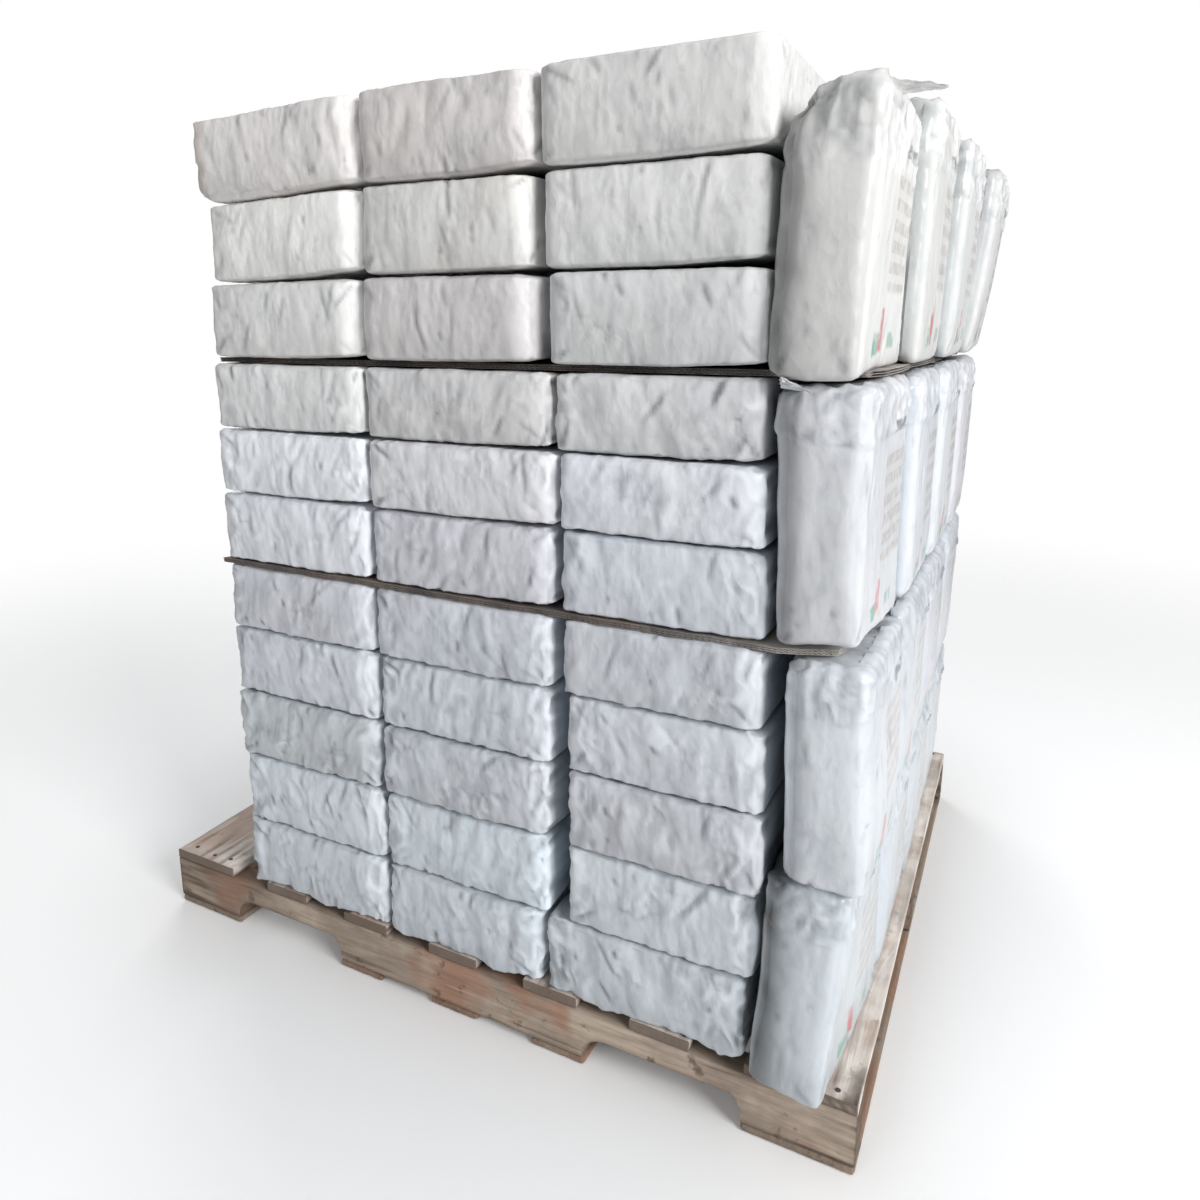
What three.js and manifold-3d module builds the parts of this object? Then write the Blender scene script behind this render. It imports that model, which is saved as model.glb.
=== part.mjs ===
// A pallet of film-wrapped bales of pressed rags: eleven layers of lying bales, four tiers of
// standing bales beside them, two cardboard sheets and a notched-stringer pallet.
// Millimetres, +Z up. The origin is the middle of the pallet's underside, on the floor.
// Places inside the load are measured from the pallet's front left corner: x to the right along
// the stringers, y to the back along the deck boards, z up from the floor.
import * as THREE from "three";
import { mergeVertices } from "three/addons/utils/BufferGeometryUtils.js";
import { ConvexGeometry } from "three/addons/geometries/ConvexGeometry.js";
import Module from "manifold-3d";

const wasm = await Module();
wasm.setup();

// Pallet.
const palletLength = 1219.2;
const palletDepth = 1016;
const stringerHeight = 76;
const stringerThickness = 38;
const notchLength = 228.6;
const notchFromEnd = 152.4;
const notchHeight = 38;
const notchRadius = 20;
const topBoardThickness = 16;
const bottomBoardThickness = 13;
const leadBoardWidth = 140;
const innerBoardWidth = 89;
const innerTopBoards = 5;
const middleBottomBoards = 3;
const boardBevel = 1.5;

// Load.
const restGap = 0.3;
const sheetThickness = 7;
const baleDepth = 250;
const rowsDeep = 4;
const lyingBevel = 10;
const standingBevel = 20;
const topTierHeadBevel = 42;
const joinOverlap = 0.5;
const coreInset = 60;
const coreDrop = 14;

// The lying layers from the bottom up. rise is a layer's height, set back is how far its front
// lies behind the pallet's front edge, and each span is where one bale starts and ends along x.
const lyingLayers = [
  { rise: 115, setBack: 3, spans: [[190, 485], [491, 766], [779, 1073]] },
  { rise: 120, setBack: 6, spans: [[194, 488], [492, 777], [812, 1082]] },
  { rise: 113, setBack: 3, spans: [[191, 486], [493, 780], [815, 1081]] },
  { rise: 111, setBack: 5, spans: [[190, 486], [492, 783], [812, 1079]] },
  { rise: 106, setBack: 2, spans: [[194, 488], [493, 788], [808, 1078]] },
  { rise: 111, setBack: 4, spans: [[192, 486], [492, 791], [806, 1077]] },
  { rise: 101, setBack: 2, spans: [[195, 489], [493, 797], [804, 1076]] },
  { rise: 101, setBack: 5, spans: [[194, 488], [491, 790], [799, 1074]] },
  { rise: 110, setBack: 4, spans: [[198, 487], [490, 770], [790, 1074]] },
  { rise: 114, setBack: 7, spans: [[206, 492], [496, 764], [783, 1075]] },
  { rise: 116, setBack: 2, spans: [[190, 500], [504, 772], [782, 1073]] },
];
const layersUnderLowSheet = 5;
const layersUnderHighSheet = 8;

// The standing bales from the bottom tier up, with their rows from the front to the back. left is
// the bale's left face at its foot, lean is how far its head stands further out, and head is how
// far its top stops short of the tier's own top.
const standingThickness = 110;
const standingFront = -8;
const standingPitch = 251;
const standingDepth = 248;
const topTierRise = 330;
const standingTiers = [
  [
    { left: 1088, lean: 2, head: 3 },
    { left: 1089, lean: 0, head: 2 },
    { left: 1090, lean: 2, head: 4 },
    { left: 1088, lean: 3, head: 2 },
  ],
  [
    { left: 1103, lean: -4, head: 4 },
    { left: 1098, lean: 0, head: 3 },
    { left: 1096, lean: 3, head: 5 },
    { left: 1095, lean: 6, head: 3 },
  ],
  [
    { left: 1088, lean: -3, head: 6 },
    { left: 1092, lean: 0, head: 8 },
    { left: 1098, lean: 3, head: 6 },
    { left: 1102, lean: 5, head: 7 },
  ],
  [
    { left: 1078, lean: 6, head: 34 },
    { left: 1086, lean: 8, head: 4 },
    { left: 1097, lean: 14, head: 10 },
    { left: 1108, lean: 26, head: 20 },
  ],
];

const sheetOutlines = [
  { name: "cardboard_sheet_low", from: [184, 0], to: [1192, 1000] },
  { name: "cardboard_sheet_high", from: [190, 14], to: [1204, 1000] },
];

const wood = new THREE.MeshStandardMaterial({ color: 0x8d7766, roughness: 0.9, metalness: 0 });
const oldWood = new THREE.MeshStandardMaterial({ color: 0x7f6c5c, roughness: 0.95, metalness: 0 });
const film = new THREE.MeshStandardMaterial({ color: 0xcfd2d8, roughness: 0.4, metalness: 0 });
const brightFilm = new THREE.MeshStandardMaterial({
  color: 0xe6e9ee,
  roughness: 0.3,
  metalness: 0,
});
const cardboard = new THREE.MeshStandardMaterial({
  color: 0x9a8876,
  roughness: 0.95,
  metalness: 0,
});

// A closed geometry as a solid that can be joined to others.
function toSolid(geometry) {
  const bare = geometry.clone();
  bare.deleteAttribute("normal");
  bare.deleteAttribute("uv");
  const merged = mergeVertices(bare, 1e-3);
  return new wasm.Manifold(
    new wasm.Mesh({
      numProp: 3,
      vertProperties: merged.attributes.position.array,
      triVerts: new Uint32Array(merged.index.array),
    }),
  );
}

// A solid back as a geometry with flat-shaded faces.
function toGeometry(solid) {
  const mesh = solid.getMesh();
  const geometry = new THREE.BufferGeometry();
  geometry.setAttribute("position", new THREE.BufferAttribute(mesh.vertProperties, 3));
  geometry.setIndex(new THREE.BufferAttribute(mesh.triVerts, 1));
  const flat = geometry.toNonIndexed();
  flat.computeVertexNormals();
  return flat;
}

// A box between two corners with its twelve edges cut off, those of its top by topBevel, and its
// top shifted along x by lean.
function bevelledBox(from, to, bevel, lean = 0, topBevel = bevel) {
  const points = [];
  const rise = to[2] - from[2];
  const place = (x, y, z) =>
    points.push(new THREE.Vector3(x + (lean * (z - from[2])) / rise, y, z));
  for (const [x, inX] of [[from[0], bevel], [to[0], -bevel]]) {
    for (const [y, inY] of [[from[1], bevel], [to[1], -bevel]]) {
      place(x + inX, y + inY, from[2]);
      place(x + inX, y, from[2] + bevel);
      place(x, y + inY, from[2] + bevel);
      place(x + Math.sign(inX) * topBevel, y + Math.sign(inY) * topBevel, to[2]);
      place(x + inX, y, to[2] - topBevel);
      place(x, y + inY, to[2] - topBevel);
    }
  }
  return new ConvexGeometry(points);
}

function namedMesh(name, geometry, material) {
  const mesh = new THREE.Mesh(geometry, material);
  mesh.name = name;
  return mesh;
}

// A stringer: a plank on edge whose underside has two round-cornered notches for the forks.
function stringerGeometry() {
  const side = new THREE.Shape();
  const arcHeight = notchHeight - notchRadius;
  side.moveTo(0, 0);
  for (const start of [notchFromEnd, palletLength - notchFromEnd - notchLength]) {
    const end = start + notchLength;
    side.lineTo(start, 0);
    side.lineTo(start, arcHeight);
    side.absarc(start + notchRadius, arcHeight, notchRadius, Math.PI, Math.PI / 2, true);
    side.lineTo(end - notchRadius, notchHeight);
    side.absarc(end - notchRadius, arcHeight, notchRadius, Math.PI / 2, 0, true);
    side.lineTo(end, 0);
  }
  side.lineTo(palletLength, 0);
  side.lineTo(palletLength, stringerHeight);
  side.lineTo(0, stringerHeight);
  side.closePath();
  const geometry = new THREE.ExtrudeGeometry(side, {
    depth: stringerThickness,
    bevelEnabled: false,
    curveSegments: 4,
  });
  geometry.rotateX(Math.PI / 2);
  geometry.translate(0, stringerThickness, 0);
  return geometry;
}

function pallet() {
  const group = new THREE.Group();
  const stringerFloor = bottomBoardThickness + restGap;
  const places = [
    ["stringer_front", 0],
    ["stringer_middle", (palletDepth - stringerThickness) / 2],
    ["stringer_back", palletDepth - stringerThickness],
  ];
  for (const [name, y] of places) {
    const stringer = namedMesh(name, stringerGeometry(), wood);
    stringer.position.set(0, y, stringerFloor);
    group.add(stringer);
  }

  const board = (name, x, z, width, thickness, material) =>
    namedMesh(
      name,
      bevelledBox([x, 0, z], [x + width, palletDepth, z + thickness], boardBevel),
      material,
    );

  const topFloor = stringerFloor + stringerHeight + restGap;
  const widths = [leadBoardWidth, ...Array(innerTopBoards).fill(innerBoardWidth), leadBoardWidth];
  const bare = palletLength - widths.reduce((sum, width) => sum + width, 0);
  let x = 0;
  widths.forEach((width, i) => {
    group.add(board(`top_board_${i + 1}`, x, topFloor, width, topBoardThickness, wood));
    x += width + bare / (widths.length - 1);
  });

  // The bottom boards lie under the stringers' ends and middles, clear of the notches.
  const middleStart = notchFromEnd + notchLength;
  const middleRoom = palletLength - 2 * middleStart - innerBoardWidth;
  const bottomBoards = [[0, leadBoardWidth]];
  for (let i = 0; i < middleBottomBoards; i += 1) {
    bottomBoards.push([middleStart + (middleRoom * i) / (middleBottomBoards - 1), innerBoardWidth]);
  }
  bottomBoards.push([palletLength - leadBoardWidth, leadBoardWidth]);
  bottomBoards.forEach(([start, width], i) => {
    group.add(board(`bottom_board_${i + 1}`, start, 0, width, bottomBoardThickness, oldWood));
  });
  return group;
}

// One layer of lying bales: twelve bales that just meet, held together by a core that stays back
// from the faces, so that the gaps between the bales are cut into them.
function lyingLayerGeometry({ rise, setBack, spans }, floor) {
  const top = floor + rise - restGap;
  const depth = rowsDeep * baleDepth;
  const first = spans[0][0];
  const last = spans[spans.length - 1][1];
  let layer = toSolid(
    bevelledBox(
      [first + coreInset, setBack + coreInset, floor + coreDrop],
      [last - coreInset, setBack + depth - coreInset, top - coreDrop],
      boardBevel,
    ),
  );
  for (const [start, end] of spans) {
    for (let row = 0; row < rowsDeep; row += 1) {
      const near = setBack + row * baleDepth - (row > 0 ? joinOverlap : 0);
      const far = setBack + (row + 1) * baleDepth;
      layer = layer.add(toSolid(bevelledBox([start, near, floor], [end, far, top], lyingBevel)));
    }
  }
  return toGeometry(layer);
}

function cardboardSheet({ name, from, to }, floor) {
  const bottom = floor;
  const top = floor + sheetThickness - restGap;
  return namedMesh(
    name,
    bevelledBox([from[0], from[1], bottom], [to[0], to[1], top], boardBevel),
    cardboard,
  );
}

function load(deck) {
  const group = new THREE.Group();
  const tierFloors = [deck];
  const tierTops = [];
  let floor = deck;
  lyingLayers.forEach((layer, i) => {
    const number = String(i + 1).padStart(2, "0");
    group.add(namedMesh(`bale_layer_${number}`, lyingLayerGeometry(layer, floor), film));
    floor += layer.rise;
    const sheet = [layersUnderLowSheet, layersUnderHighSheet].indexOf(i + 1);
    if (sheet >= 0) {
      tierTops.push(floor);
      group.add(cardboardSheet(sheetOutlines[sheet], floor));
      floor += sheetThickness;
      tierFloors.push(floor);
    }
  });

  // Two tiers of standing bales share the height below the low sheet.
  const lowMiddle = (tierFloors[0] + tierTops[0]) / 2;
  const tiers = [
    [tierFloors[0], lowMiddle],
    [lowMiddle, tierTops[0]],
    [tierFloors[1], tierTops[1]],
    [tierFloors[2], tierFloors[2] + topTierRise],
  ];
  standingTiers.forEach((rows, tier) => {
    const [foot, head] = tiers[tier];
    rows.forEach((bale, row) => {
      const y = standingFront + row * standingPitch;
      // The second tier stands on the heads of the first, and the others on deck or sheet.
      const sunk = tier === 1 ? standingTiers[0][row].head - restGap : 0;
      const geometry = bevelledBox(
        [bale.left, y, foot - sunk],
        [bale.left + standingThickness, y + standingDepth, head - bale.head],
        standingBevel,
        bale.lean,
        tier === tiers.length - 1 ? topTierHeadBevel : standingBevel,
      );
      group.add(namedMesh(`standing_bale_${tier + 1}_${row + 1}`, geometry, brightFilm));
    });
  });
  return group;
}

const deckHeight = bottomBoardThickness + stringerHeight + topBoardThickness + 2 * restGap;
const palletOfSacks = new THREE.Group();
palletOfSacks.add(pallet(), load(deckHeight + restGap));
for (const part of palletOfSacks.children) {
  part.position.set(-palletLength / 2, -palletDepth / 2, 0);
}

export default palletOfSacks;
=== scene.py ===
"""The looks of a pallet of pressed, film-wrapped bales: their film with its folds and creases, the
torn cardboard between them, and the weathered pallet that carries them. All lengths are in metres,
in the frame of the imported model, whose origin is the middle of the pallet's underside.
"""

import logging
import math
from dataclasses import dataclass, field
from enum import Enum
from typing import Union

import bpy
import numpy as np
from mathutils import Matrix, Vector


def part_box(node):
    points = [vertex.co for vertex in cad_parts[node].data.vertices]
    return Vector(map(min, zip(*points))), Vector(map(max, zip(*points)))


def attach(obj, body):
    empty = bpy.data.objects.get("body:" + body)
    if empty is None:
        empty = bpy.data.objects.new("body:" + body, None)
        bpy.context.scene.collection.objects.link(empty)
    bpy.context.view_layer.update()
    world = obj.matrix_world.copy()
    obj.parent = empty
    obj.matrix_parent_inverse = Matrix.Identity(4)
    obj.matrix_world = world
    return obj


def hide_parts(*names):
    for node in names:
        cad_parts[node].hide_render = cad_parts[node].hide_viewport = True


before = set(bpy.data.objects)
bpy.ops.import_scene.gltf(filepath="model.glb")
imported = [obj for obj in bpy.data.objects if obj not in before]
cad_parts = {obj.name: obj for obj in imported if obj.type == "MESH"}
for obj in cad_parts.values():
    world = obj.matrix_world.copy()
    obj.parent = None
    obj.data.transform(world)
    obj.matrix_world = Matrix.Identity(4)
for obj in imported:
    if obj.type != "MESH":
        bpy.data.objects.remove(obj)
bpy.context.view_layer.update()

log = logging.getLogger("pallet_of_sacks")
logging.basicConfig(level=logging.INFO, format="%(message)s")

MM = 0.001
BODY = "root"
PALLET_LENGTH = 1219.2 * MM
PALLET_DEPTH = 1016 * MM
RIDGE_BEND = 28 * MM
RIDGE_WANDER = 9 * MM
RIDGE_STEEPNESS = 3.4

Array = np.ndarray
Triple = tuple[float, float, float]
Faces = list[list[int]]
Number = Union[float, "Wire"]
Paint = Union[Triple, "Wire"]
Material = bpy.types.Material


def from_corner(x: float) -> float:
    """A distance in millimetres from the pallet's left end as an x in the frame."""
    return x * MM - PALLET_LENGTH / 2


def in_frame(x: float, y: float, z: float) -> Array:
    """A place in millimetres from the pallet's front left corner as one in the frame."""
    return np.array([from_corner(x), y * MM - PALLET_DEPTH / 2, z * MM])


def ease(low: float, high: float, value: Array) -> Array:
    """Rises smoothly from 0 where value is low to 1 where it is high."""
    t = np.clip((value - low) / (high - low), 0, 1)
    return t * t * (3 - 2 * t)


class Ripple:
    """Smooth noise over space, the same in every run."""

    PRIMES = (374761393, 668265263, 1442695041)
    SEED_FACTOR = 2246822519
    MIX_FACTOR = 1274126177
    MASK = 0xFFFFFFFF
    LOUDNESS = 1.6

    def __init__(self, seed: int) -> None:
        """Keeps the number that sets this noise apart from the others."""
        self.seed = seed

    def directions(self, cell: Array) -> Array:
        """A fixed unit vector for each whole-numbered place.

        Args:
            cell: the places, N by 3.

        Returns:
            The vectors, N by 3.
        """
        mixed = (cell.astype(np.int64) @ np.array(self.PRIMES) + self.seed * self.SEED_FACTOR) & self.MASK
        mixed = ((mixed ^ (mixed >> 13)) * self.MIX_FACTOR) & self.MASK
        mixed = mixed ^ (mixed >> 16)
        height = (mixed & 0xFFFF) / 0x8000 - 1
        turn = (mixed >> 16) * (2 * math.pi / 0x10000)
        flat = np.sqrt(np.maximum(0, 1 - height**2))
        return np.stack([flat * np.cos(turn), flat * np.sin(turn), height], axis=1)

    def at(self, points: Array) -> Array:
        """The noise at each point.

        Args:
            points: N by 3, where one unit is about half a wave.

        Returns:
            Values from about -1 to 1.
        """
        cell = np.floor(points)
        inside = points - cell
        blend = inside**3 * (inside * (inside * 6 - 15) + 10)
        total = np.zeros(len(points))
        for corner in np.ndindex(2, 2, 2):
            weight = np.where(corner, blend, 1 - blend).prod(axis=1)
            total += weight * (self.directions(cell + corner) * (inside - corner)).sum(axis=1)
        return total * self.LOUDNESS


class Facets(Ripple):
    """Flat-sided crumples, from the distances to many scattered points."""

    SCATTER = 0.34

    def nearest(self, points: Array) -> tuple[Array, Array]:
        """How far the nearest scattered points are.

        Args:
            points: N by 3, where one unit is about one facet.

        Returns:
            The distances to the nearest and to the second nearest, which are the same along a fold.
        """
        cell = np.floor(points - 0.5)
        near = np.full(len(points), 9.0)
        second = near.copy()
        for neighbour in np.ndindex(2, 2, 2):
            corner = cell + neighbour
            spot = corner + 0.5 + self.SCATTER * self.directions(corner)
            away = np.linalg.norm(points - spot, axis=1)
            second = np.minimum(second, np.maximum(near, away))
            near = np.minimum(near, away)
        return near, second


class Side(Enum):
    """A side of a block, as its axis and whether it is the far end of that axis."""

    LEFT = (0, False)
    RIGHT = (0, True)
    FRONT = (1, False)
    BACK = (1, True)
    BOTTOM = (2, False)
    TOP = (2, True)


@dataclass(frozen=True)
class Rim:
    """The rows of cells kept along a hidden side's edges, the rest being one large face."""

    low_u: int = 0
    high_u: int = 0
    low_v: int = 0
    high_v: int = 0


@dataclass
class BlockGrid:
    """A closed block whose surface is a grid of cells.

    Attributes:
        ticks: the places of the grid's lines along x, y and z.
        hidden: the sides that nobody sees, with the rim of cells that each keeps.
    """

    ticks: tuple[Array, Array, Array]
    hidden: dict[Side, Rim] = field(default_factory=dict)

    def keys(self, side: Side, u: Array, v: Array) -> Array:
        """Numbers the grid points of a side, the same where two sides share a point.

        Args:
            side: the side.
            u, v: the lines that each point lies on.

        Returns:
            One number for each point.
        """
        axis, far = side.value
        counts = [len(t) for t in self.ticks]
        index = {axis: np.full_like(u, (counts[axis] - 1) * far), (axis + 1) % 3: u, (axis + 2) % 3: v}
        return np.ravel_multi_index([index[i] for i in range(3)], counts)

    def side_faces(self, side: Side) -> Faces:
        """Makes the faces of one side.

        Args:
            side: the side.

        Returns:
            The faces, with their outsides out.
        """
        axis, far = side.value
        cells_u, cells_v = (len(self.ticks[(axis + turn) % 3]) - 1 for turn in (1, 2))
        u, v = (g.ravel() for g in np.meshgrid(np.arange(cells_u), np.arange(cells_v)))
        loops = []
        if side in self.hidden:
            rim = self.hidden[side]
            u0, u1 = rim.low_u, cells_u - rim.high_u
            v0, v1 = rim.low_v, cells_v - rim.high_v
            outside = (u < u0) | (u >= u1) | (v < v0) | (v >= v1)
            u, v = u[outside], v[outside]
            go_u, go_v = np.arange(u0, u1), np.arange(v0, v1)
            ring_u = [go_u, np.full_like(go_v, u1), go_u[::-1] + 1, np.full_like(go_v, u0)]
            ring_v = [np.full_like(go_u, v0), go_v, np.full_like(go_u, v1), go_v[::-1] + 1]
            loops.append(self.keys(side, np.concatenate(ring_u), np.concatenate(ring_v)).tolist())
        square = ((0, 0), (1, 0), (1, 1), (0, 1))
        loops.extend(np.stack([self.keys(side, u + du, v + dv) for du, dv in square], axis=1).tolist())
        return loops if far else [loop[::-1] for loop in loops]

    def build(self) -> tuple[Array, Faces]:
        """Makes the block.

        Returns:
            Its points, N by 3, and its faces as lists of point numbers.
        """
        faces = [face for side in Side for face in self.side_faces(side)]
        used, numbers = np.unique(np.concatenate(faces), return_inverse=True)
        ends = np.cumsum([len(face) for face in faces])[:-1]
        index = np.unravel_index(used, [len(t) for t in self.ticks])
        points = np.stack([t[i] for t, i in zip(self.ticks, index)], axis=1)
        return points, [part.tolist() for part in np.split(numbers, ends)]


def spaced(length: float, step: float, radius: float, bends: int = 3) -> Array:
    """Places from 0 to length along an edge, set closer where its ends are rounded.

    Args:
        length: the edge's length.
        step: the distance between places on its straight stretch.
        radius: how long each rounded end is.
        bends: the number of steps in each rounded end.

    Returns:
        The places.
    """
    first = radius * (1 - np.tan(np.linspace(math.pi / 4, 0, bends + 1)))
    last = length - radius * (1 - np.tan(np.linspace(0, math.pi / 4, bends + 1)))
    steps = max(1, round((length - 2 * radius) / step))
    middle = np.linspace(radius, length - radius, steps + 1)[1:-1]
    return np.concatenate([first, middle, last])


def round_off(points: Array, size: Array, radii: Array) -> tuple[Array, Array]:
    """Rounds the edges and corners of a block.

    Args:
        points: places on the block's surface, from 0 to size.
        size: the block's three lengths.
        radii: the rounding along x, y and z, for all points or for each.

    Returns:
        The moved points and the directions in which the surface faces there.
    """
    inner = np.clip(points, radii, size - radii)
    out = (points - inner) / radii
    out /= np.maximum(np.linalg.norm(out, axis=1, keepdims=True), 1e-9)
    facing = out / radii
    facing /= np.maximum(np.linalg.norm(facing, axis=1, keepdims=True), 1e-9)
    return inner + radii * out, facing


@dataclass(frozen=True)
class Crease:
    """A short sharp fold in a side: a groove with a raised lip beside it.

    Attributes:
        across, up: where its middle is on the side.
        turn: how far it leans from upright.
        length, width, depth: its size.
    """

    across: float
    up: float
    turn: float
    length: float
    width: float
    depth: float

    def press(self, across: Array, up: Array) -> Array:
        """Presses the fold into its side.

        Args:
            across, up: places on the side.

        Returns:
            How far each is lifted out of the surface, negative in the groove.
        """
        lean, rise = math.sin(self.turn), math.cos(self.turn)
        u, v = across - self.across, up - self.up
        run = np.abs(u * lean + v * rise) / (self.length / 2)
        off = (u * rise - v * lean) / self.width
        fade = np.where((run < 1) & (np.abs(off) < 5), np.maximum(0, 1 - run**2), 0)
        lip = np.exp(-((off - 2.1) ** 2) / 1.6)
        return self.depth * fade * (0.45 * lip - np.exp(-(off**2)))


def over(points: Array, width: float, length: float) -> Array:
    """Places measured in folds that are so wide and, up the side, so long."""
    return points / np.array([width, width, length])


def torn_ridges(points: Array, seed: int, width: float, length: float) -> Array:
    """Sharp wandering ridges of crumpled film: 1 on a ridge, below 0 in the hollows between."""
    wander = Ripple(seed).at(points / RIDGE_BEND)[:, None] * RIDGE_WANDER
    return 1 - np.abs(Ripple(seed + 1).at(over(points + wander, width, length))) * RIDGE_STEEPNESS


@dataclass(frozen=True)
class FilmRelief:
    """How film lies over a pressed bale: lumps, upright folds, crumples, creases and pits.

    Attributes:
        lump: size and height of the lumps of the rags below.
        fold: width, length and depth of the soft folds.
        pleat: width, length and depth of the narrow folds among them.
        crumple: width, length and depth of the sharp-edged crumples.
        creases: how many short creases a square metre of side has.
        crease_depth: the deepest crease.
        pits: how many pits a square metre has, most of them low on the side.
        pit_width: how wide a pit or a corner tuck is.
        slant: how far the folds may lean, as a tangent.
        finest: the narrowest crease that the mesh can carry.
    """

    lump: tuple[float, float] = (0.058, 0.0024)
    fold: Triple = (0.023, 0.060, 0.0016)
    pleat: Triple = (0.0095, 0.034, 0.00042)
    crumple: Triple = (0.022, 0.050, 0.0019)
    creases: float = 330
    crease_depth: float = 0.0024
    pits: float = 130
    pit_width: float = 2.6 * MM
    slant: float = 0.30
    finest: float = 0.0034

    def soft(self, points: Array, seed: int) -> tuple[Array, Array]:
        """The lumps, folds and crumples that run all over the film.

        Args:
            points: places on the bale, before it is rounded.
            seed: the bale's own number.

        Returns:
            The height of each point over the plain side, and how much it lies in a fold from 0 to 1.
        """
        bend = Ripple(seed + 11).at(points / 0.09)
        leaning = points.copy()
        leaning[:, :2] += (points[:, 2] * (self.slant * math.sin(seed * 1.7)) + bend * 0.012)[:, None]
        lumps = Ripple(seed + 1).at(points / self.lump[0]) * self.lump[1]
        folds = Ripple(seed + 2).at(over(leaning, *self.fold[:2])) * self.fold[2]
        patch = ease(-0.35, 0.35, Ripple(seed + 5).at(points / 0.07))
        folds *= 0.35 + 1.05 * ease(-0.4, 0.4, Ripple(seed + 7).at(points / 0.11))
        pleat = Ripple(seed + 6).at(over(leaning, *self.pleat[:2]))
        folds += (pleat - np.abs(pleat) * 0.6) * self.pleat[2] * (1.2 - 0.6 * patch)
        cells = over(leaning, *self.crumple[:2])
        near, second = Facets(seed + 3).nearest(cells)
        fine, fine_second = Facets(seed + 4).nearest(cells * 2.1)
        turned = np.clip(bend * 4 + 0.3, -1, 1)
        depth = self.crumple[2]
        large = depth * (near - 0.45) * turned * (0.35 + 0.65 * patch)
        small = depth * 0.55 * (0.45 - fine) * (0.25 + 0.75 * patch)
        line = np.exp(-(((second - near) / 0.10) ** 2)) * np.clip(-turned, 0, 1)
        fine_line = np.exp(-(((fine_second - fine) / 0.14) ** 2))
        hollow = np.clip(-pleat - 0.25, 0, 1) * 0.5
        return lumps + folds + large + small, np.clip((line * 0.4 + fine_line * 0.1) * patch + hollow, 0, 1)

    def marks(self, width: float, height: float, dice: np.random.Generator) -> list[Crease]:
        """The creases, pits and corner tucks of one upright side.

        Args:
            width: the side's width.
            height: the side's height.
            dice: the bale's own random numbers.

        Returns:
            The marks, in places across and up the side.
        """
        made = []

        def add(u: float, v: float, turn: float, length: float, breadth: float, depth: float) -> None:
            """One crease at a place on the side, leaning by turn from upright."""
            made.append(Crease(u, v, turn, length, max(breadth, self.finest), depth))

        common = dice.normal(0, 0.22)
        swing = dice.normal(0, 0.35)
        for _ in range(round(self.creases * width * height)):
            reach = (12 + 55 * dice.uniform(0, 1) ** 2) * MM
            deep = self.crease_depth * (0.2 + 0.8 * dice.uniform(0, 1) ** 2.2)
            across = dice.uniform(0, width)
            turn = common + swing * (across / width - 0.5) + dice.normal(0, 0.16)
            add(across, dice.uniform(0, height), turn, reach, deep * 1.3, deep)
        for _ in range(round(self.pits * width * height)):
            low = height * dice.uniform(0, 1) ** 1.9
            turn = dice.uniform(-1, 1)
            across, reach, deep = dice.uniform((0, 6 * MM, 0.5 * MM), (width, 14 * MM, 1.6 * MM))
            add(across, low, turn, reach, self.pit_width, deep)
        for end, mirror in ((0.0, 1), (width, -1)):
            for level, climb in ((0.0, 1), (height, -1)):
                for _ in range(dice.choice([0, 0, 1, 1, 2, 3])):
                    length = dice.uniform(16, 55) * MM
                    turn = mirror * climb * dice.uniform(0.35, 1.15)
                    inward = mirror * (4 * MM + abs(math.sin(turn)) * length * 0.55)
                    upward = climb * (4 * MM + math.cos(turn) * length * 0.55)
                    deep = dice.uniform(0.5, 1.5) * MM
                    add(end + inward, level + upward, turn, length, self.pit_width, deep)
        for end, mirror in ((width, 1), (0.0, -1)):
            for _ in range(dice.choice([0, 1, 1, 2] if mirror > 0 else [0, 0, 0, 1])):
                length = dice.uniform(20, 75) * MM
                turn = mirror * dice.uniform(0.0, 0.9)
                middle = end - mirror * dice.uniform(12, 150) * MM - math.sin(turn) * length * 0.5
                deep = dice.uniform(0.7, 2.0) * MM
                add(middle, height - math.cos(turn) * length * 0.5, turn, length, deep * 1.4, deep)
        return made


@dataclass(frozen=True)
class Pull:
    """A stretch of a bale that is pushed or pulled out of its plain shape.

    Attributes:
        place: its middle, as shares of the bale's size.
        reach: how far it spreads, in the same shares.
        by: how far its middle moves, in millimetres.
    """

    place: Triple
    reach: Triple
    by: Triple

    def move(self, part: Array) -> Array:
        """How far each point of a bale moves, its place given as shares of the bale's size."""
        away = (part - np.array(self.place)) / np.array(self.reach)
        return np.exp(-(away**2).sum(axis=1))[:, None] * np.array(self.by) * MM


@dataclass(frozen=True)
class BaleMesh:
    """A built bale.

    Attributes:
        points: its points, in the frame.
        faces: its faces, as lists of point numbers.
        crease: how much each point lies in a fold, from -1 on a ridge to 1, which the film's material paints
            as shade in folds and as highlight on ridges.
        part: each point's place as a share of the bale's size.
        facing: the direction in which the plain side faces at each point.
        inward: how far each point lies behind the bale's nearest open side along y.
    """

    points: Array
    faces: Faces
    crease: Array
    part: Array
    facing: Array
    inward: Array


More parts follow.
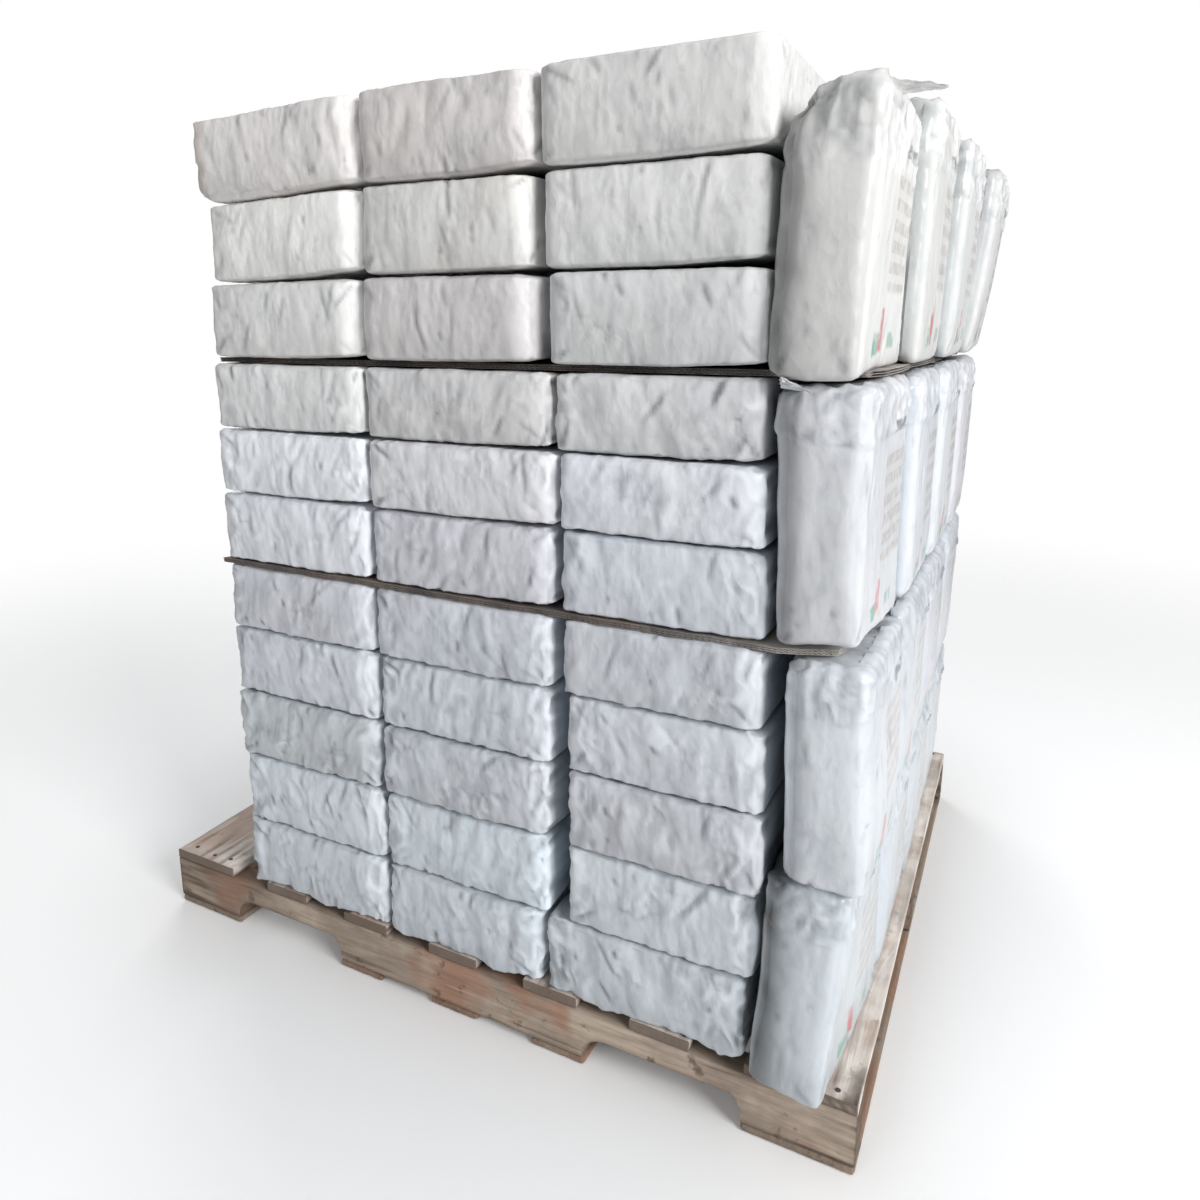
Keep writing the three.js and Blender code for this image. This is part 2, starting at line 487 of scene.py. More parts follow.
@dataclass(frozen=True)
class Rounding:
    """How a bale's edges and corners are rounded.

    Attributes:
        left, right: the rounding of its two ends along x.
        front, back: the rounding of its front and its back along y.
        rise: the rounding along z.
        head: the rounding along z of its top, or 0 for the same.
        square: how much of the top's rounding is left at its right end.
        end_depth: how much rounder its right end is along y.
        pinch: how much sharper its upright corners are at its foot, as a share.
        joined: whether its front and its back lie against a neighbour.
        joined_right: the rounding along x of its right end where it lies against a neighbour.
        flare: how much wider the right end's rounding is at the top than at the foot.
        tucked: the extra rounding of the lower left corner.
        cell: how long the grid's steps are on a rounded edge.
    """

    left: float
    right: float
    front: float
    back: float
    rise: float
    head: float = 0.0
    square: float = 1.0
    end_depth: float = 0.0
    pinch: float = 0.0
    joined: tuple[bool, bool] = (False, False)
    joined_right: float = 12 * MM
    flare: float = 0.0
    tucked: float = 0.0
    cell: float = 5 * MM

    def at(self, part: Array) -> Array:
        """The rounding at each point.

        Args:
            part: the points' places as shares of the bale's size.

        Returns:
            The rounding along x, y and z, N by 3.
        """
        at_right, behind, above = (part > 0.5).T
        right = self.right * (1 + self.flare * (2 * part[:, 2] - 1))
        right = np.where(np.where(behind, self.joined[1], self.joined[0]), self.joined_right, right)
        across = np.where(at_right, right, self.left)
        head = (self.head or self.rise) * np.where(at_right, self.square, 1.0)
        upward = np.where(above, head, self.rise)
        inward = np.where(behind, self.back, self.front) + np.where(at_right, self.end_depth, 0)
        sharper = 1 - self.pinch * (1 - ease(0.0, 0.45, part[:, 2]))
        corner = np.where((part[:, 0] < 0.5) & (part[:, 2] < 0.5), self.tucked, 0)
        return np.stack([(across + corner) * sharper, inward * sharper, upward + corner * 0.8], axis=1)

    def ticks(self, size: Array, steps: Triple) -> tuple[Array, ...]:
        """The places of a bale's grid lines, which are closer on its rounded edges.

        Args:
            size: the bale's three lengths.
            steps: how far apart the lines are elsewhere.

        Returns:
            The places along x, y and z.
        """
        ends, sides = max(self.left, self.right), max(self.front, self.back) + self.end_depth
        edges = (ends, sides, max(self.rise, self.head))
        bends = [max(3, round(edge / self.cell)) for edge in edges]
        return tuple(spaced(size[i], steps[i], edges[i], bends[i]) for i in range(3))


@dataclass(frozen=True)
class FoldedEnd:
    """The end of the film, folded over a bale's top and down its sides.

    Attributes:
        reach: how far down it comes.
        gathered: how deep the pleats are that run up to the middle of the top.
        hem: how plainly its hem shows.
        crumple: how strongly it is crumpled.
        ragged: how far its hem wanders up and down.
        thick: how far it stands out.
        facet: the height of its flat-sided crumples.
        ridge: the height of its sharp ridges.
    """

    reach: float
    gathered: float
    hem: float
    crumple: float
    ragged: float = 9 * MM
    thick: float = 2.4 * MM
    facet: float = 6.5 * MM
    ridge: float = 3.0 * MM

    def lay(self, flat: Array, size: Array, rise: Array, seed: int) -> tuple[Array, Array]:
        """Lays the folded end over the rest of the film.

        Args:
            flat: places on the bale, before it is rounded.
            size: the bale's three lengths.
            rise: the relief so far, which is stronger on the folded end.
            seed: the bale's own number.

        Returns:
            What is added to the height of each point, and how much it lies in a fold.
        """
        below = size[2] - flat[:, 2] + Ripple(seed + 21).at(flat / 0.045) * self.ragged
        on_cap = 1 - ease(self.reach - 2 * MM, self.reach + 1.5 * MM, below)
        hem = np.exp(-(((below - self.reach - 1 * MM) / (2.2 * MM)) ** 2))
        middle = flat[:, :2] - size[:2] / 2
        turn = np.arctan2(middle[:, 1], middle[:, 0])
        round_trip = np.stack([np.cos(turn) * 5.5, np.sin(turn) * 5.5, below / 0.12], axis=1)
        pleats = 0.7 * Ripple(seed + 22).at(round_trip) + 0.6 * Ripple(seed + 23).at(round_trip * 2.1)
        near_top = 1 - ease(0.02, 0.11, below)
        near, second = Facets(seed + 24).nearest(over(flat, 0.024, 0.030))
        line = np.exp(-(((second - near) / 0.09) ** 2))
        loose = on_cap * (0.4 + 0.6 * ease(-0.2, 0.3, Ripple(seed + 25).at(flat / 0.05)))
        height = on_cap * (self.hem * self.thick + rise * 1.2)
        height += loose * np.clip(0.5 - near, -0.5, 0.5) * self.facet + self.gathered * pleats * near_top
        fold = self.hem * hem + 0.75 * loose * line + 0.9 * np.clip(-pleats - 0.1, 0, 1) * near_top
        ridges = torn_ridges(flat, seed + 26, 0.026, 0.036)
        loose = loose * self.crumple
        height += loose * np.clip(ridges, -0.6, 1) * self.ridge
        # The fold values give painted shade in pleats, hollows and at the hem, and painted highlight on the
        # ridges.
        return height, fold + loose * (0.85 * ease(0.0, 0.5, -ridges) - 0.6 * ease(0.3, 0.9, ridges))


@dataclass
class Bale:
    """One pressed bale in film.

    Attributes:
        low, high: its lowest and its highest corner.
        seed: its own number, for its folds.
        steps: the grid's spacing along x, y and z.
        hidden: the sides that nobody sees.
        rounding: how its edges are rounded.
        crowns: how far the sides swell along x, y and z.
        lean: how far its head stands out along x.
        lift: how far the lower right corner is raised.
        rumpled: how much stronger its crumples are than the plain relief.
        frayed: how uneven its edges are.
        tufts: how strongly the film is crumpled at its two ends.
        tuft: how high the ridges stand there.
        cap: the folded end of the film, where it shows.
        pulls: where it bulges or sinks.
        relief: how its film lies.
        full_shade: how deep a mark is that looks as dark as any.
    """

    low: Array
    high: Array
    seed: int
    steps: Triple
    hidden: dict[Side, Rim]
    rounding: Rounding
    crowns: Triple
    lean: float = 0.0
    lift: float = 0.0
    rumpled: float = 1.0
    frayed: float = 1.3 * MM
    tufts: float = 0.0
    tuft: float = 2.0 * MM
    cap: Union[FoldedEnd, None] = None
    pulls: tuple[Pull, ...] = ()
    relief: FilmRelief = FilmRelief()
    full_shade: float = 1.6 * MM

    def add_tufts(self, flat: Array, size: Array, rise: Array, crease: Array) -> None:
        """Frays the bale's edges and crumples the film at its two ends.

        Args:
            flat: places on the bale, before it is rounded.
            size: the bale's three lengths.
            rise: the relief so far, which is changed.
            crease: how much each point lies in a fold, which is changed.
        """
        to_edge = np.sort(np.minimum(flat, size - flat), axis=1)[:, 1]
        along_edge = Ripple(self.seed + 31).at(flat / 0.021) + 0.5 * Ripple(self.seed + 32).at(flat / 0.009)
        rise += self.frayed * self.rumpled * along_edge * (1 - ease(0.0, 0.013, to_edge))
        to_end = np.minimum(flat[:, 0], size[0] - flat[:, 0])
        patches = ease(0.08, 0.40, Ripple(self.seed + 42).at(flat / 0.055))
        tufted = self.tufts * np.clip(1 - ease(0.006, 0.055, to_end) + 0.6 * patches, 0, 1)
        ridges = torn_ridges(flat, self.seed + 41, 0.024, 0.042)
        rise += tufted * np.clip(ridges, -0.6, 1) * self.tuft
        # Painted shade in the hollows between the ridges and painted highlight on the ridges, through the
        # crease values.
        crease += tufted * (0.5 * ease(0.0, 0.6, -ridges) - 0.9 * ease(0.25, 0.9, ridges))

    def add_marks(self, flat: Array, size: Array, rise: Array, crease: Array) -> None:
        """Presses the creases and pits of the upright sides into the relief.

        Args:
            flat: places on the bale, before it is rounded.
            size: the bale's three lengths.
            rise: the relief so far, which is changed.
            crease: how much each point lies in a fold, which is changed.
        """
        dice = np.random.default_rng(self.seed)
        for side in (Side.FRONT, Side.RIGHT, Side.BACK, Side.LEFT):
            axis, far = side.value
            marks = self.relief.marks(size[1 - axis], size[2], dice)
            if side in self.hidden:
                continue
            near = np.abs(flat[:, axis] - (size[axis] if far else 0)) < 1e-6
            pressed = np.zeros(near.sum())
            for mark in marks:
                pressed += mark.press(flat[near, 1 - axis], flat[near, 2])
            rise[near] += pressed * self.rumpled
            crease[near] = np.clip(crease[near] + np.clip(-pressed / self.full_shade, 0, 1), -1, 1)

    def film(self, flat: Array, size: Array, facing: Array) -> tuple[Array, Array]:
        """How the film lies over the bale's plain shape.

        Args:
            flat: places on the bale, before it is rounded.
            size: the bale's three lengths.
            facing: the direction in which the plain side faces at each point.

        Returns:
            The height of each point, and how much it lies in a fold, from -1 on a ridge to 1.
        """
        rise, crease = self.relief.soft(flat, self.seed)
        taut = 1 - 0.55 * ease(0.88, 0.94, flat[:, 0] / size[0])
        rise = rise * (1 - 0.75 * np.abs(facing[:, 2])) * taut * self.rumpled
        crease = np.clip(crease * taut * self.rumpled, 0, 1)
        self.add_tufts(flat, size, rise, crease)
        if self.cap:
            cap_rise, cap_fold = self.cap.lay(flat, size, rise, self.seed)
            rise += cap_rise
            crease = np.clip(crease + cap_fold, -1, 1) * (1 - 0.5 * np.clip(facing[:, 2], 0, 1))
        self.add_marks(flat, size, rise, crease)
        return rise, crease

    def build(self) -> BaleMesh:
        """Makes the bale.

        Returns:
            Its mesh.
        """
        size = self.high - self.low
        flat, faces = BlockGrid(self.rounding.ticks(size, self.steps), self.hidden).build()
        part = flat / size
        points, facing = round_off(flat, size, self.rounding.at(part))
        swell = 1 - (2 * part - 1) ** 4
        crown = swell[:, 0] * swell[:, 1] + swell[:, 1] * swell[:, 2] + swell[:, 2] * swell[:, 0]
        rise, crease = self.film(flat, size, facing)
        points = points + facing * (np.abs(facing) @ np.array(self.crowns) * crown + rise)[:, None]
        for pull in self.pulls:
            points += pull.move(part)
        points[:, 0] += self.lean * part[:, 2]
        points[:, 2] += self.lift * ease(0.55, 1.0, part[:, 0]) * (1 - part[:, 2]) ** 2
        from_front = np.where(Side.FRONT in self.hidden, 1.0, flat[:, 1])
        from_back = np.where(Side.BACK in self.hidden, 1.0, size[1] - flat[:, 1])
        return BaleMesh(points + self.low, faces, crease, part, facing, np.minimum(from_front, from_back))


@dataclass
class MeshParts:
    """Meshes that are gathered into one piece, with what its material reads at each point."""

    points: list[Array] = field(default_factory=list)
    faces: Faces = field(default_factory=list)
    numbers: dict[str, list[Array]] = field(default_factory=dict)
    count: int = 0

    def add(self, points: Array, faces: Faces, **numbers: Array) -> None:
        """Adds one mesh.

        Args:
            points: its points, in the frame.
            faces: its faces, as lists of point numbers.
            numbers: what the material reads at each point, each N long or N by 3.
        """
        self.points.append(points)
        self.faces.extend([[i + self.count for i in face] for face in faces])
        for name, values in numbers.items():
            self.numbers.setdefault(name, []).append(values)
        self.count += len(points)

    def piece(self, name: str, material: Material, smooth: bool = True) -> bpy.types.Object:
        """Makes the piece, at the origin.

        Args:
            name: the piece's name.
            material: its finish.
            smooth: whether its faces are shaded as one curved surface.

        Returns:
            The new object.
        """
        mesh = bpy.data.meshes.new(name)
        mesh.from_pydata(np.concatenate(self.points).tolist(), [], self.faces)
        for label, parts in self.numbers.items():
            values = np.concatenate(parts).astype(np.float32)
            kind, key = ("FLOAT_VECTOR", "vector") if values.ndim == 2 else ("FLOAT", "value")
            mesh.attributes.new(label, kind, "POINT").data.foreach_set(key, values.ravel())
        mesh.materials.append(material)
        mesh.polygons.foreach_set("use_smooth", [smooth] * len(mesh.polygons))
        return place_in_scene(name, mesh)


def place_in_scene(name: str, data: bpy.types.ID) -> bpy.types.Object:
    """Links a mesh, a lamp or a camera to the scene.

    Args:
        name: the new object's name.
        data: what it shows.

    Returns:
        The new object.
    """
    made = bpy.data.objects.new(name, data)
    bpy.context.scene.collection.objects.link(made)
    return made


def settle(piece: bpy.types.Object, slot: str, *nodes: str) -> None:
    """Puts a finished piece on the body and reports it.

    Args:
        piece: the piece.
        slot: not used.
        nodes: the plain solids that it stands in for.
    """
    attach(piece, BODY)
    if nodes:
        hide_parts(*nodes)
    log.info("%s: %d faces", piece.name, len(piece.data.polygons))


class Wire:
    """A shader socket that can be used in sums."""

    def __init__(self, graph: "Graph", socket: bpy.types.NodeSocket) -> None:
        """Keeps the socket and the graph that new nodes go into."""
        self.graph = graph
        self.socket = socket

    def math(self, operation: str, *others: Number, first: bool = True) -> "Wire":
        """Adds a Math node with this value first, or last where first is false."""
        values = [self, *others] if first else [*others, self]
        return self.graph.node("ShaderNodeMath", {"operation": operation}, dict(enumerate(values)))

    def __add__(self, other: Number) -> "Wire":
        """This value plus another."""
        return self.math("ADD", other)

    def __sub__(self, other: Number) -> "Wire":
        """This value less another."""
        return self.math("SUBTRACT", other)

    def __rsub__(self, other: Number) -> "Wire":
        """Another value less this one."""
        return self.math("SUBTRACT", other, first=False)

    def __mul__(self, other: Number) -> "Wire":
        """This value times another."""
        return self.math("MULTIPLY", other)

    __radd__ = __add__
    __rmul__ = __mul__

    def __abs__(self) -> "Wire":
        """This value without its sign."""
        return self.math("ABSOLUTE")

    def between(self, low: float, high: float) -> "Wire":
        """Rises smoothly from 0 where this value is low to 1 where it is high."""
        inputs = {"Value": self, "From Min": low, "From Max": high}
        return self.graph.node("ShaderNodeMapRange", {"interpolation_type": "SMOOTHSTEP"}, inputs, "Result")


class Graph:
    """A material's nodes."""

    def __init__(self, name: str) -> None:
        """Starts an empty material.

        Args:
            name: the material's name.
        """
        self.material = bpy.data.materials.new(name)
        self.material.use_nodes = True
        self.tree = self.material.node_tree
        self.tree.nodes.clear()

    def node(
        self, kind: str, settings: dict, inputs: dict, output: Union[str, int] = 0
    ) -> Union[Wire, None]:
        """Adds a node.

        Args:
            kind: the node's type.
            settings: its own options.
            inputs: values or wires for its sockets, by name or number.
            output: the name or number of the output that is used.

        Returns:
            That output, or None where the node has none.
        """
        made = self.tree.nodes.new(kind)
        for key, value in settings.items():
            setattr(made, key, value)
        for key, value in inputs.items():
            socket = made.inputs[key]
            if isinstance(value, Wire):
                self.tree.links.new(value.socket, socket)
            elif socket.type == "RGBA":
                socket.default_value = (*value, 1)
            else:
                socket.default_value = value
        return Wire(self, made.outputs[output]) if made.outputs else None

    def mix(self, factor: Number, a: Paint, b: Paint, blend: str = "MIX") -> Wire:
        """Blends colour a towards colour b by factor."""
        settings = {"data_type": "RGBA", "blend_type": blend}
        return self.node("ShaderNodeMix", settings, {0: factor, 6: a, 7: b}, 2)

    def vector(self, operation: str, a: Paint, b: Paint) -> Wire:
        """Works out a vector from two others."""
        return self.node("ShaderNodeVectorMath", {"operation": operation}, {0: a, 1: b})

    def attribute(self, name: str, output: str = "Fac") -> Wire:
        """A value that the mesh holds at its points."""
        return self.node("ShaderNodeAttribute", {"attribute_name": name}, {}, output)

    def place(self) -> Wire:
        """The point's place in the frame."""
        return self.node("ShaderNodeTexCoord", {}, {}, "Object")

    def own_place(self) -> Wire:
        """The point's place, shifted so that no two bales or boards have the same pattern."""
        return self.vector("ADD", self.place(), self.attribute("shift", "Vector"))

    def noise(
        self, place: Wire, scale: float, detail: float = 3, rough: float = 0.5, twist: float = 0
    ) -> Wire:
        """Soft noise from 0 to 1 with so many waves in a metre."""
        inputs = {"Vector": place, "Scale": scale, "Detail": detail, "Roughness": rough, "Distortion": twist}
        return self.node("ShaderNodeTexNoise", {}, inputs, "Fac")

    def bump(self, height: Wire, distance: float, **sockets: Number) -> Wire:
        """Turns a height from 0 to 1 into a normal."""
        return self.node("ShaderNodeBump", {}, {"Height": height, "Distance": distance, **sockets}, "Normal")

    def skin(self, **sockets: Union[Number, Paint]) -> Wire:
        """Adds the shader with these sockets, where _ in a name stands for a space."""
        named = {key.replace("_", " "): value for key, value in sockets.items()}
        return self.node("ShaderNodeBsdfPrincipled", {}, named, "BSDF")

    def finish(self, surface: Wire) -> Material:
        """Ends the material in this shader."""
        self.node("ShaderNodeOutputMaterial", {}, {"Surface": surface})
        return self.material


@dataclass(frozen=True)
class FilmFinish:
    """White plastic film stretched over rags.

    Attributes:
        name: the material's name.
        white: the film's colour where it is clean.
        shade: its colour down in a crease, a painted shade with a little dirt.
        cast: what its stained patches are multiplied by.
        roughness: its roughness, and how much that changes.
        coat: how much the film shines over what it covers.
        wrinkle: the height of its fine wrinkles.
        printed: whether its right side has a pale panel and plain bars.
    """

    name: str
    white: Triple
    shade: Triple
    cast: Triple
    roughness: tuple[float, float]
    coat: float
    wrinkle: float
    printed: bool = False

    def panel(self, graph: Graph, colour: Wire) -> Wire:
        """Lays the pale panel and the plain bars on the right side.

        Args:
            graph: the material's nodes.
            colour: the film's colour so far.

        Returns:
            The colour with the print.
        """
        part = graph.attribute("part", "Vector")
        across, up = (graph.node("ShaderNodeSeparateXYZ", {}, {0: part}, axis) for axis in "YZ")
        facing = graph.attribute("facing")

        def box(left: float, right: float, low: float, high: float, soft: float) -> Wire:
            """Marks an upright box on the side.

            Args:
                left, right, low, high: its edges, as shares of the side.
                soft: how far in it fades.

            Returns:
                1 inside the box, falling to 0 at its edges.
            """
            inside_across = across.between(left, left + soft) * (1 - across.between(right - soft, right))
            inside_up = up.between(low, low + soft) * (1 - up.between(high - soft, high))
            return inside_across * inside_up * facing

        worn = graph.noise(graph.place(), 45, 4).between(0.3, 0.6)
        bars = abs((up * 13).math("FRACT") - 0.5).between(0.16, 0.26)
        broken = graph.noise(graph.place(), 90, 2).between(0.42, 0.52)
        lines = (0.18 + 0.44 * bars * (0.5 + 0.5 * broken)) * (0.5 + 0.5 * worn)
        heading = (0.35 + 0.45 * worn) * (0.6 + 0.4 * broken)
        prints = (
            ((0.42, 0.90, 0.28, 0.74, 0.03), lines, (0.46, 0.40, 0.35)),
            ((0.56, 0.88, 0.785, 0.85, 0.015), heading, (0.20, 0.20, 0.21)),
            ((0.24, 0.38, 0.05, 0.15, 0.02), worn * 0.8, (0.10, 0.40, 0.27)),
            ((0.56, 0.74, 0.07, 0.15, 0.02), worn * 0.6, (0.16, 0.40, 0.29)),
            ((0.36, 0.46, 0.06, 0.24, 0.02), worn * 0.8, (0.62, 0.12, 0.15)),
        )
        for edges, strength, ink in prints:
            colour = graph.mix(box(*edges) * strength, colour, ink)
        return colour

    def paint(self) -> Material:
        """Makes the finish.

        Returns:
            Its material.
        """
        graph = Graph(self.name)
        place = graph.own_place()
        drift = graph.node("ShaderNodeTexNoise", {}, {"Vector": place, "Scale": 28, "Detail": 2}, "Color")
        bent = graph.vector("ADD", place, graph.vector("MULTIPLY", drift, (0.018, 0.018, 0.010)))
        upright = graph.vector("MULTIPLY", bent, (1.0, 1.0, 0.52))
        cloudy = graph.noise(upright, 26, 4, 0.55, 0.6)
        streaks = graph.noise(upright, 75, 3, 0.6, 0.4)
        crumple = graph.node("ShaderNodeTexVoronoi", {}, {"Vector": upright, "Scale": 95}, "Distance")
        patchy = graph.noise(place, 17, 2).between(0.40, 0.62)
        stain = graph.noise(place, 7, 3).between(0.45, 0.75)
        # Painted shade: darker down in the creases and folds that the crease values mark, less on ridges, and
        # mottled in cloudy streaks.
        shaded = graph.attribute("crease") * 0.7 + cloudy.between(0.45, 0.75) * 0.30
        shaded = (shaded + streaks.between(0.5, 0.8) * 0.2).math("MINIMUM", 1.0)
        colour = graph.mix(shaded, self.white, self.shade)
        colour = graph.mix(stain * 0.35, colour, self.cast, "MULTIPLY")
        # Each point's cast, with the painted shade and painted highlights that it carries.
        colour = graph.mix(1.0, colour, graph.attribute("tint_and_painted_light", "Color"), "MULTIPLY")
        if self.printed:
            colour = self.panel(graph, colour)
        middle, spread = self.roughness
        height = cloudy * 0.7 + streaks * 0.45 + crumple * (0.25 + 0.55 * patchy)
        fine = graph.noise(place, 420, 3, 0.6)
        normal = graph.bump(height, self.wrinkle)
        return graph.finish(graph.skin(
            Base_Color=colour,
            Roughness=middle - spread / 2 + cloudy * spread,
            Normal=graph.bump(fine, self.wrinkle * 0.10, Strength=0.5, Normal=normal),
            Coat_Weight=self.coat,
            Coat_Roughness=0.22,
            Specular_IOR_Level=0.4,
        ))


@dataclass(frozen=True)
class WoodFinish:
    """Weathered sawn pine.

    Attributes:
        name: the material's name.
        pale: the colour of bare worn wood.
        grey: the colour of weathered wood.
        dark: the colour of grime, splits and dark streaks, and of the painted shade that the wear_and_shade
            values carry.
        red: the colour of reddish patches.
        grain: how the place is stretched across and along the grain.
        stained: how red its patches are.
        blotched: how dark its blotches are.
        lined: how dark its grain is.
    """

    name: str
    pale: Triple
    grey: Triple
    dark: Triple
    red: Triple
    grain: Triple
    stained: float = 0.7
    blotched: float = 0.55
    lined: float = 1.0

    def paint(self) -> Material:
        """Makes the finish.

        Returns:
            Its material.
        """
        graph = Graph(self.name)
        place = graph.own_place()
        along = graph.vector("MULTIPLY", place, self.grain)
        fibre = graph.noise(along, 130, 5, 0.65, 0.3)
        ring = abs((graph.noise(along, 22, 3, 0.55, 1.4) * 9).math("FRACT") - 0.5) * 2
        weather = graph.noise(place, 9, 4, 0.6).between(0.35, 0.65)
        patch = graph.noise(graph.vector("ADD", place, (3.1, 1.7, 0.4)), 6.5, 3, 0.55).between(0.48, 0.62)
        streak = graph.noise(along, 40, 2, 0.5, 0.8).between(0.62, 0.72)
        blotch = graph.noise(graph.vector("ADD", place, (1.3, 0.2, 2.9)), 24, 4, 0.65).between(0.58, 0.68)
        split = graph.noise(along, 33, 2, 0.5, 0.6).between(0.64, 0.70)
        lines = (fibre.between(0.35, 0.7) * 0.34 + ring * 0.08) * self.lined
        colour = graph.mix(weather, self.pale, self.grey)
        # The wear_and_shade values darken the wood with real wear and dirt, and with painted shade.
        for share, tone in (
            (patch * self.stained, self.red),
            (lines, self.dark),
            (streak * (0.5 * self.lined), self.dark),
            (blotch * self.blotched, self.dark),
            (split * 0.5, self.pale),
            (graph.attribute("wear_and_shade") * 0.95, self.dark),
        ):
            colour = graph.mix(share, colour, tone)
        return graph.finish(graph.skin(
            Base_Color=colour,
            Roughness=0.78 + fibre * 0.18,
            Normal=graph.bump(fibre * 0.7 + ring * 0.35 - streak * 0.6, 0.9 * MM),
            Specular_IOR_Level=0.3,
        ))


@dataclass(frozen=True)
class CardboardFinish:
    """Brown corrugated board, dirty and torn at its edges, and paler at its right end, where it is faded and
    where painted light from the right falls.
    """

    name: str
    brown: Triple
    grey: Triple
    faded_and_lit: Triple
    dirt_and_painted_light: Triple = (0.10, 0.075, 0.055)

    def paint(self) -> Material:
        """Makes the finish.

        Returns:
            Its material.
        """
        graph = Graph(self.name)
        place = graph.place()
        fibres = graph.noise(graph.vector("MULTIPLY", place, (1.0, 1.0, 3.0)), 240, 4, 0.7)
        stains = graph.noise(place, 11, 4, 0.6)
        # Painted light with fading: paler towards the sheet's right end, where the lamp from the right
        # reaches it.
        pale = graph.attribute("fade_and_light") * (0.85 - stains.between(0.42, 0.62) * 0.6)
        colour = graph.mix(stains.between(0.38, 0.66), self.brown, self.grey)
        colour = graph.mix(fibres.between(0.45, 0.8) * 0.4, colour, self.dirt_and_painted_light)
        colour = graph.mix(graph.attribute("wear_and_shade") * 0.6, colour, self.grey)
        return graph.finish(graph.skin(
            Base_Color=graph.mix(pale, colour, self.faded_and_lit),
            Roughness=0.85 + stains * 0.1,
            Normal=graph.bump(fibres, 0.4 * MM),
            Specular_IOR_Level=0.25,
        ))


@dataclass(frozen=True)
class NailFinish:
    """Dull steel nail heads with rust."""

    name: str
    steel: Triple
    rust: Triple

    def paint(self) -> Material:
        """Makes the finish.

        Returns:
            Its material.
        """
        graph = Graph(self.name)
        spots = graph.noise(graph.place(), 700, 3, 0.6).between(0.4, 0.6)
        return graph.finish(graph.skin(
            Base_Color=graph.mix(spots, self.steel, self.rust),
            Roughness=0.55 + spots * 0.35,
            Metallic=0.7 - spots * 0.6,
            Normal=graph.bump(spots, 0.3 * MM),
        ))


@dataclass(frozen=True)
class FloorFinish:
    """A plain pale studio floor with a faint glow of its own, which is weaker under and around the load as a
    painted shadow.
    """

    name: str
    pale: Triple
    glow: float = 0.22

    def paint(self) -> Material:
        """Makes the finish.

        Returns:
            Its material.
        """
        graph = Graph(self.name)
        faint = graph.noise(graph.place(), 3, 3).between(0.3, 0.7)
        reach = graph.node("ShaderNodeVectorMath", {"operation": "LENGTH"}, {0: graph.place()}, "Value")
        # The glow fades under and around the load, a painted shadow.
        skin = graph.skin(
            Base_Color=graph.mix(faint * 0.04, self.pale, (0.7, 0.7, 0.7)),
            Roughness=0.6 + faint * 0.1,
            Specular_IOR_Level=0.2,
            Emission_Color=graph.mix(reach.between(0.45, 1.2), (0.15, 0.15, 0.15), (1.0, 1.0, 1.0)),
            Emission_Strength=self.glow,
        )
        clear = graph.node("ShaderNodeBsdfTransparent", {}, {})
        fade = reach.between(1.3, 3.6)
        return graph.finish(graph.node("ShaderNodeMixShader", {}, {0: fade, 1: skin, 2: clear}))


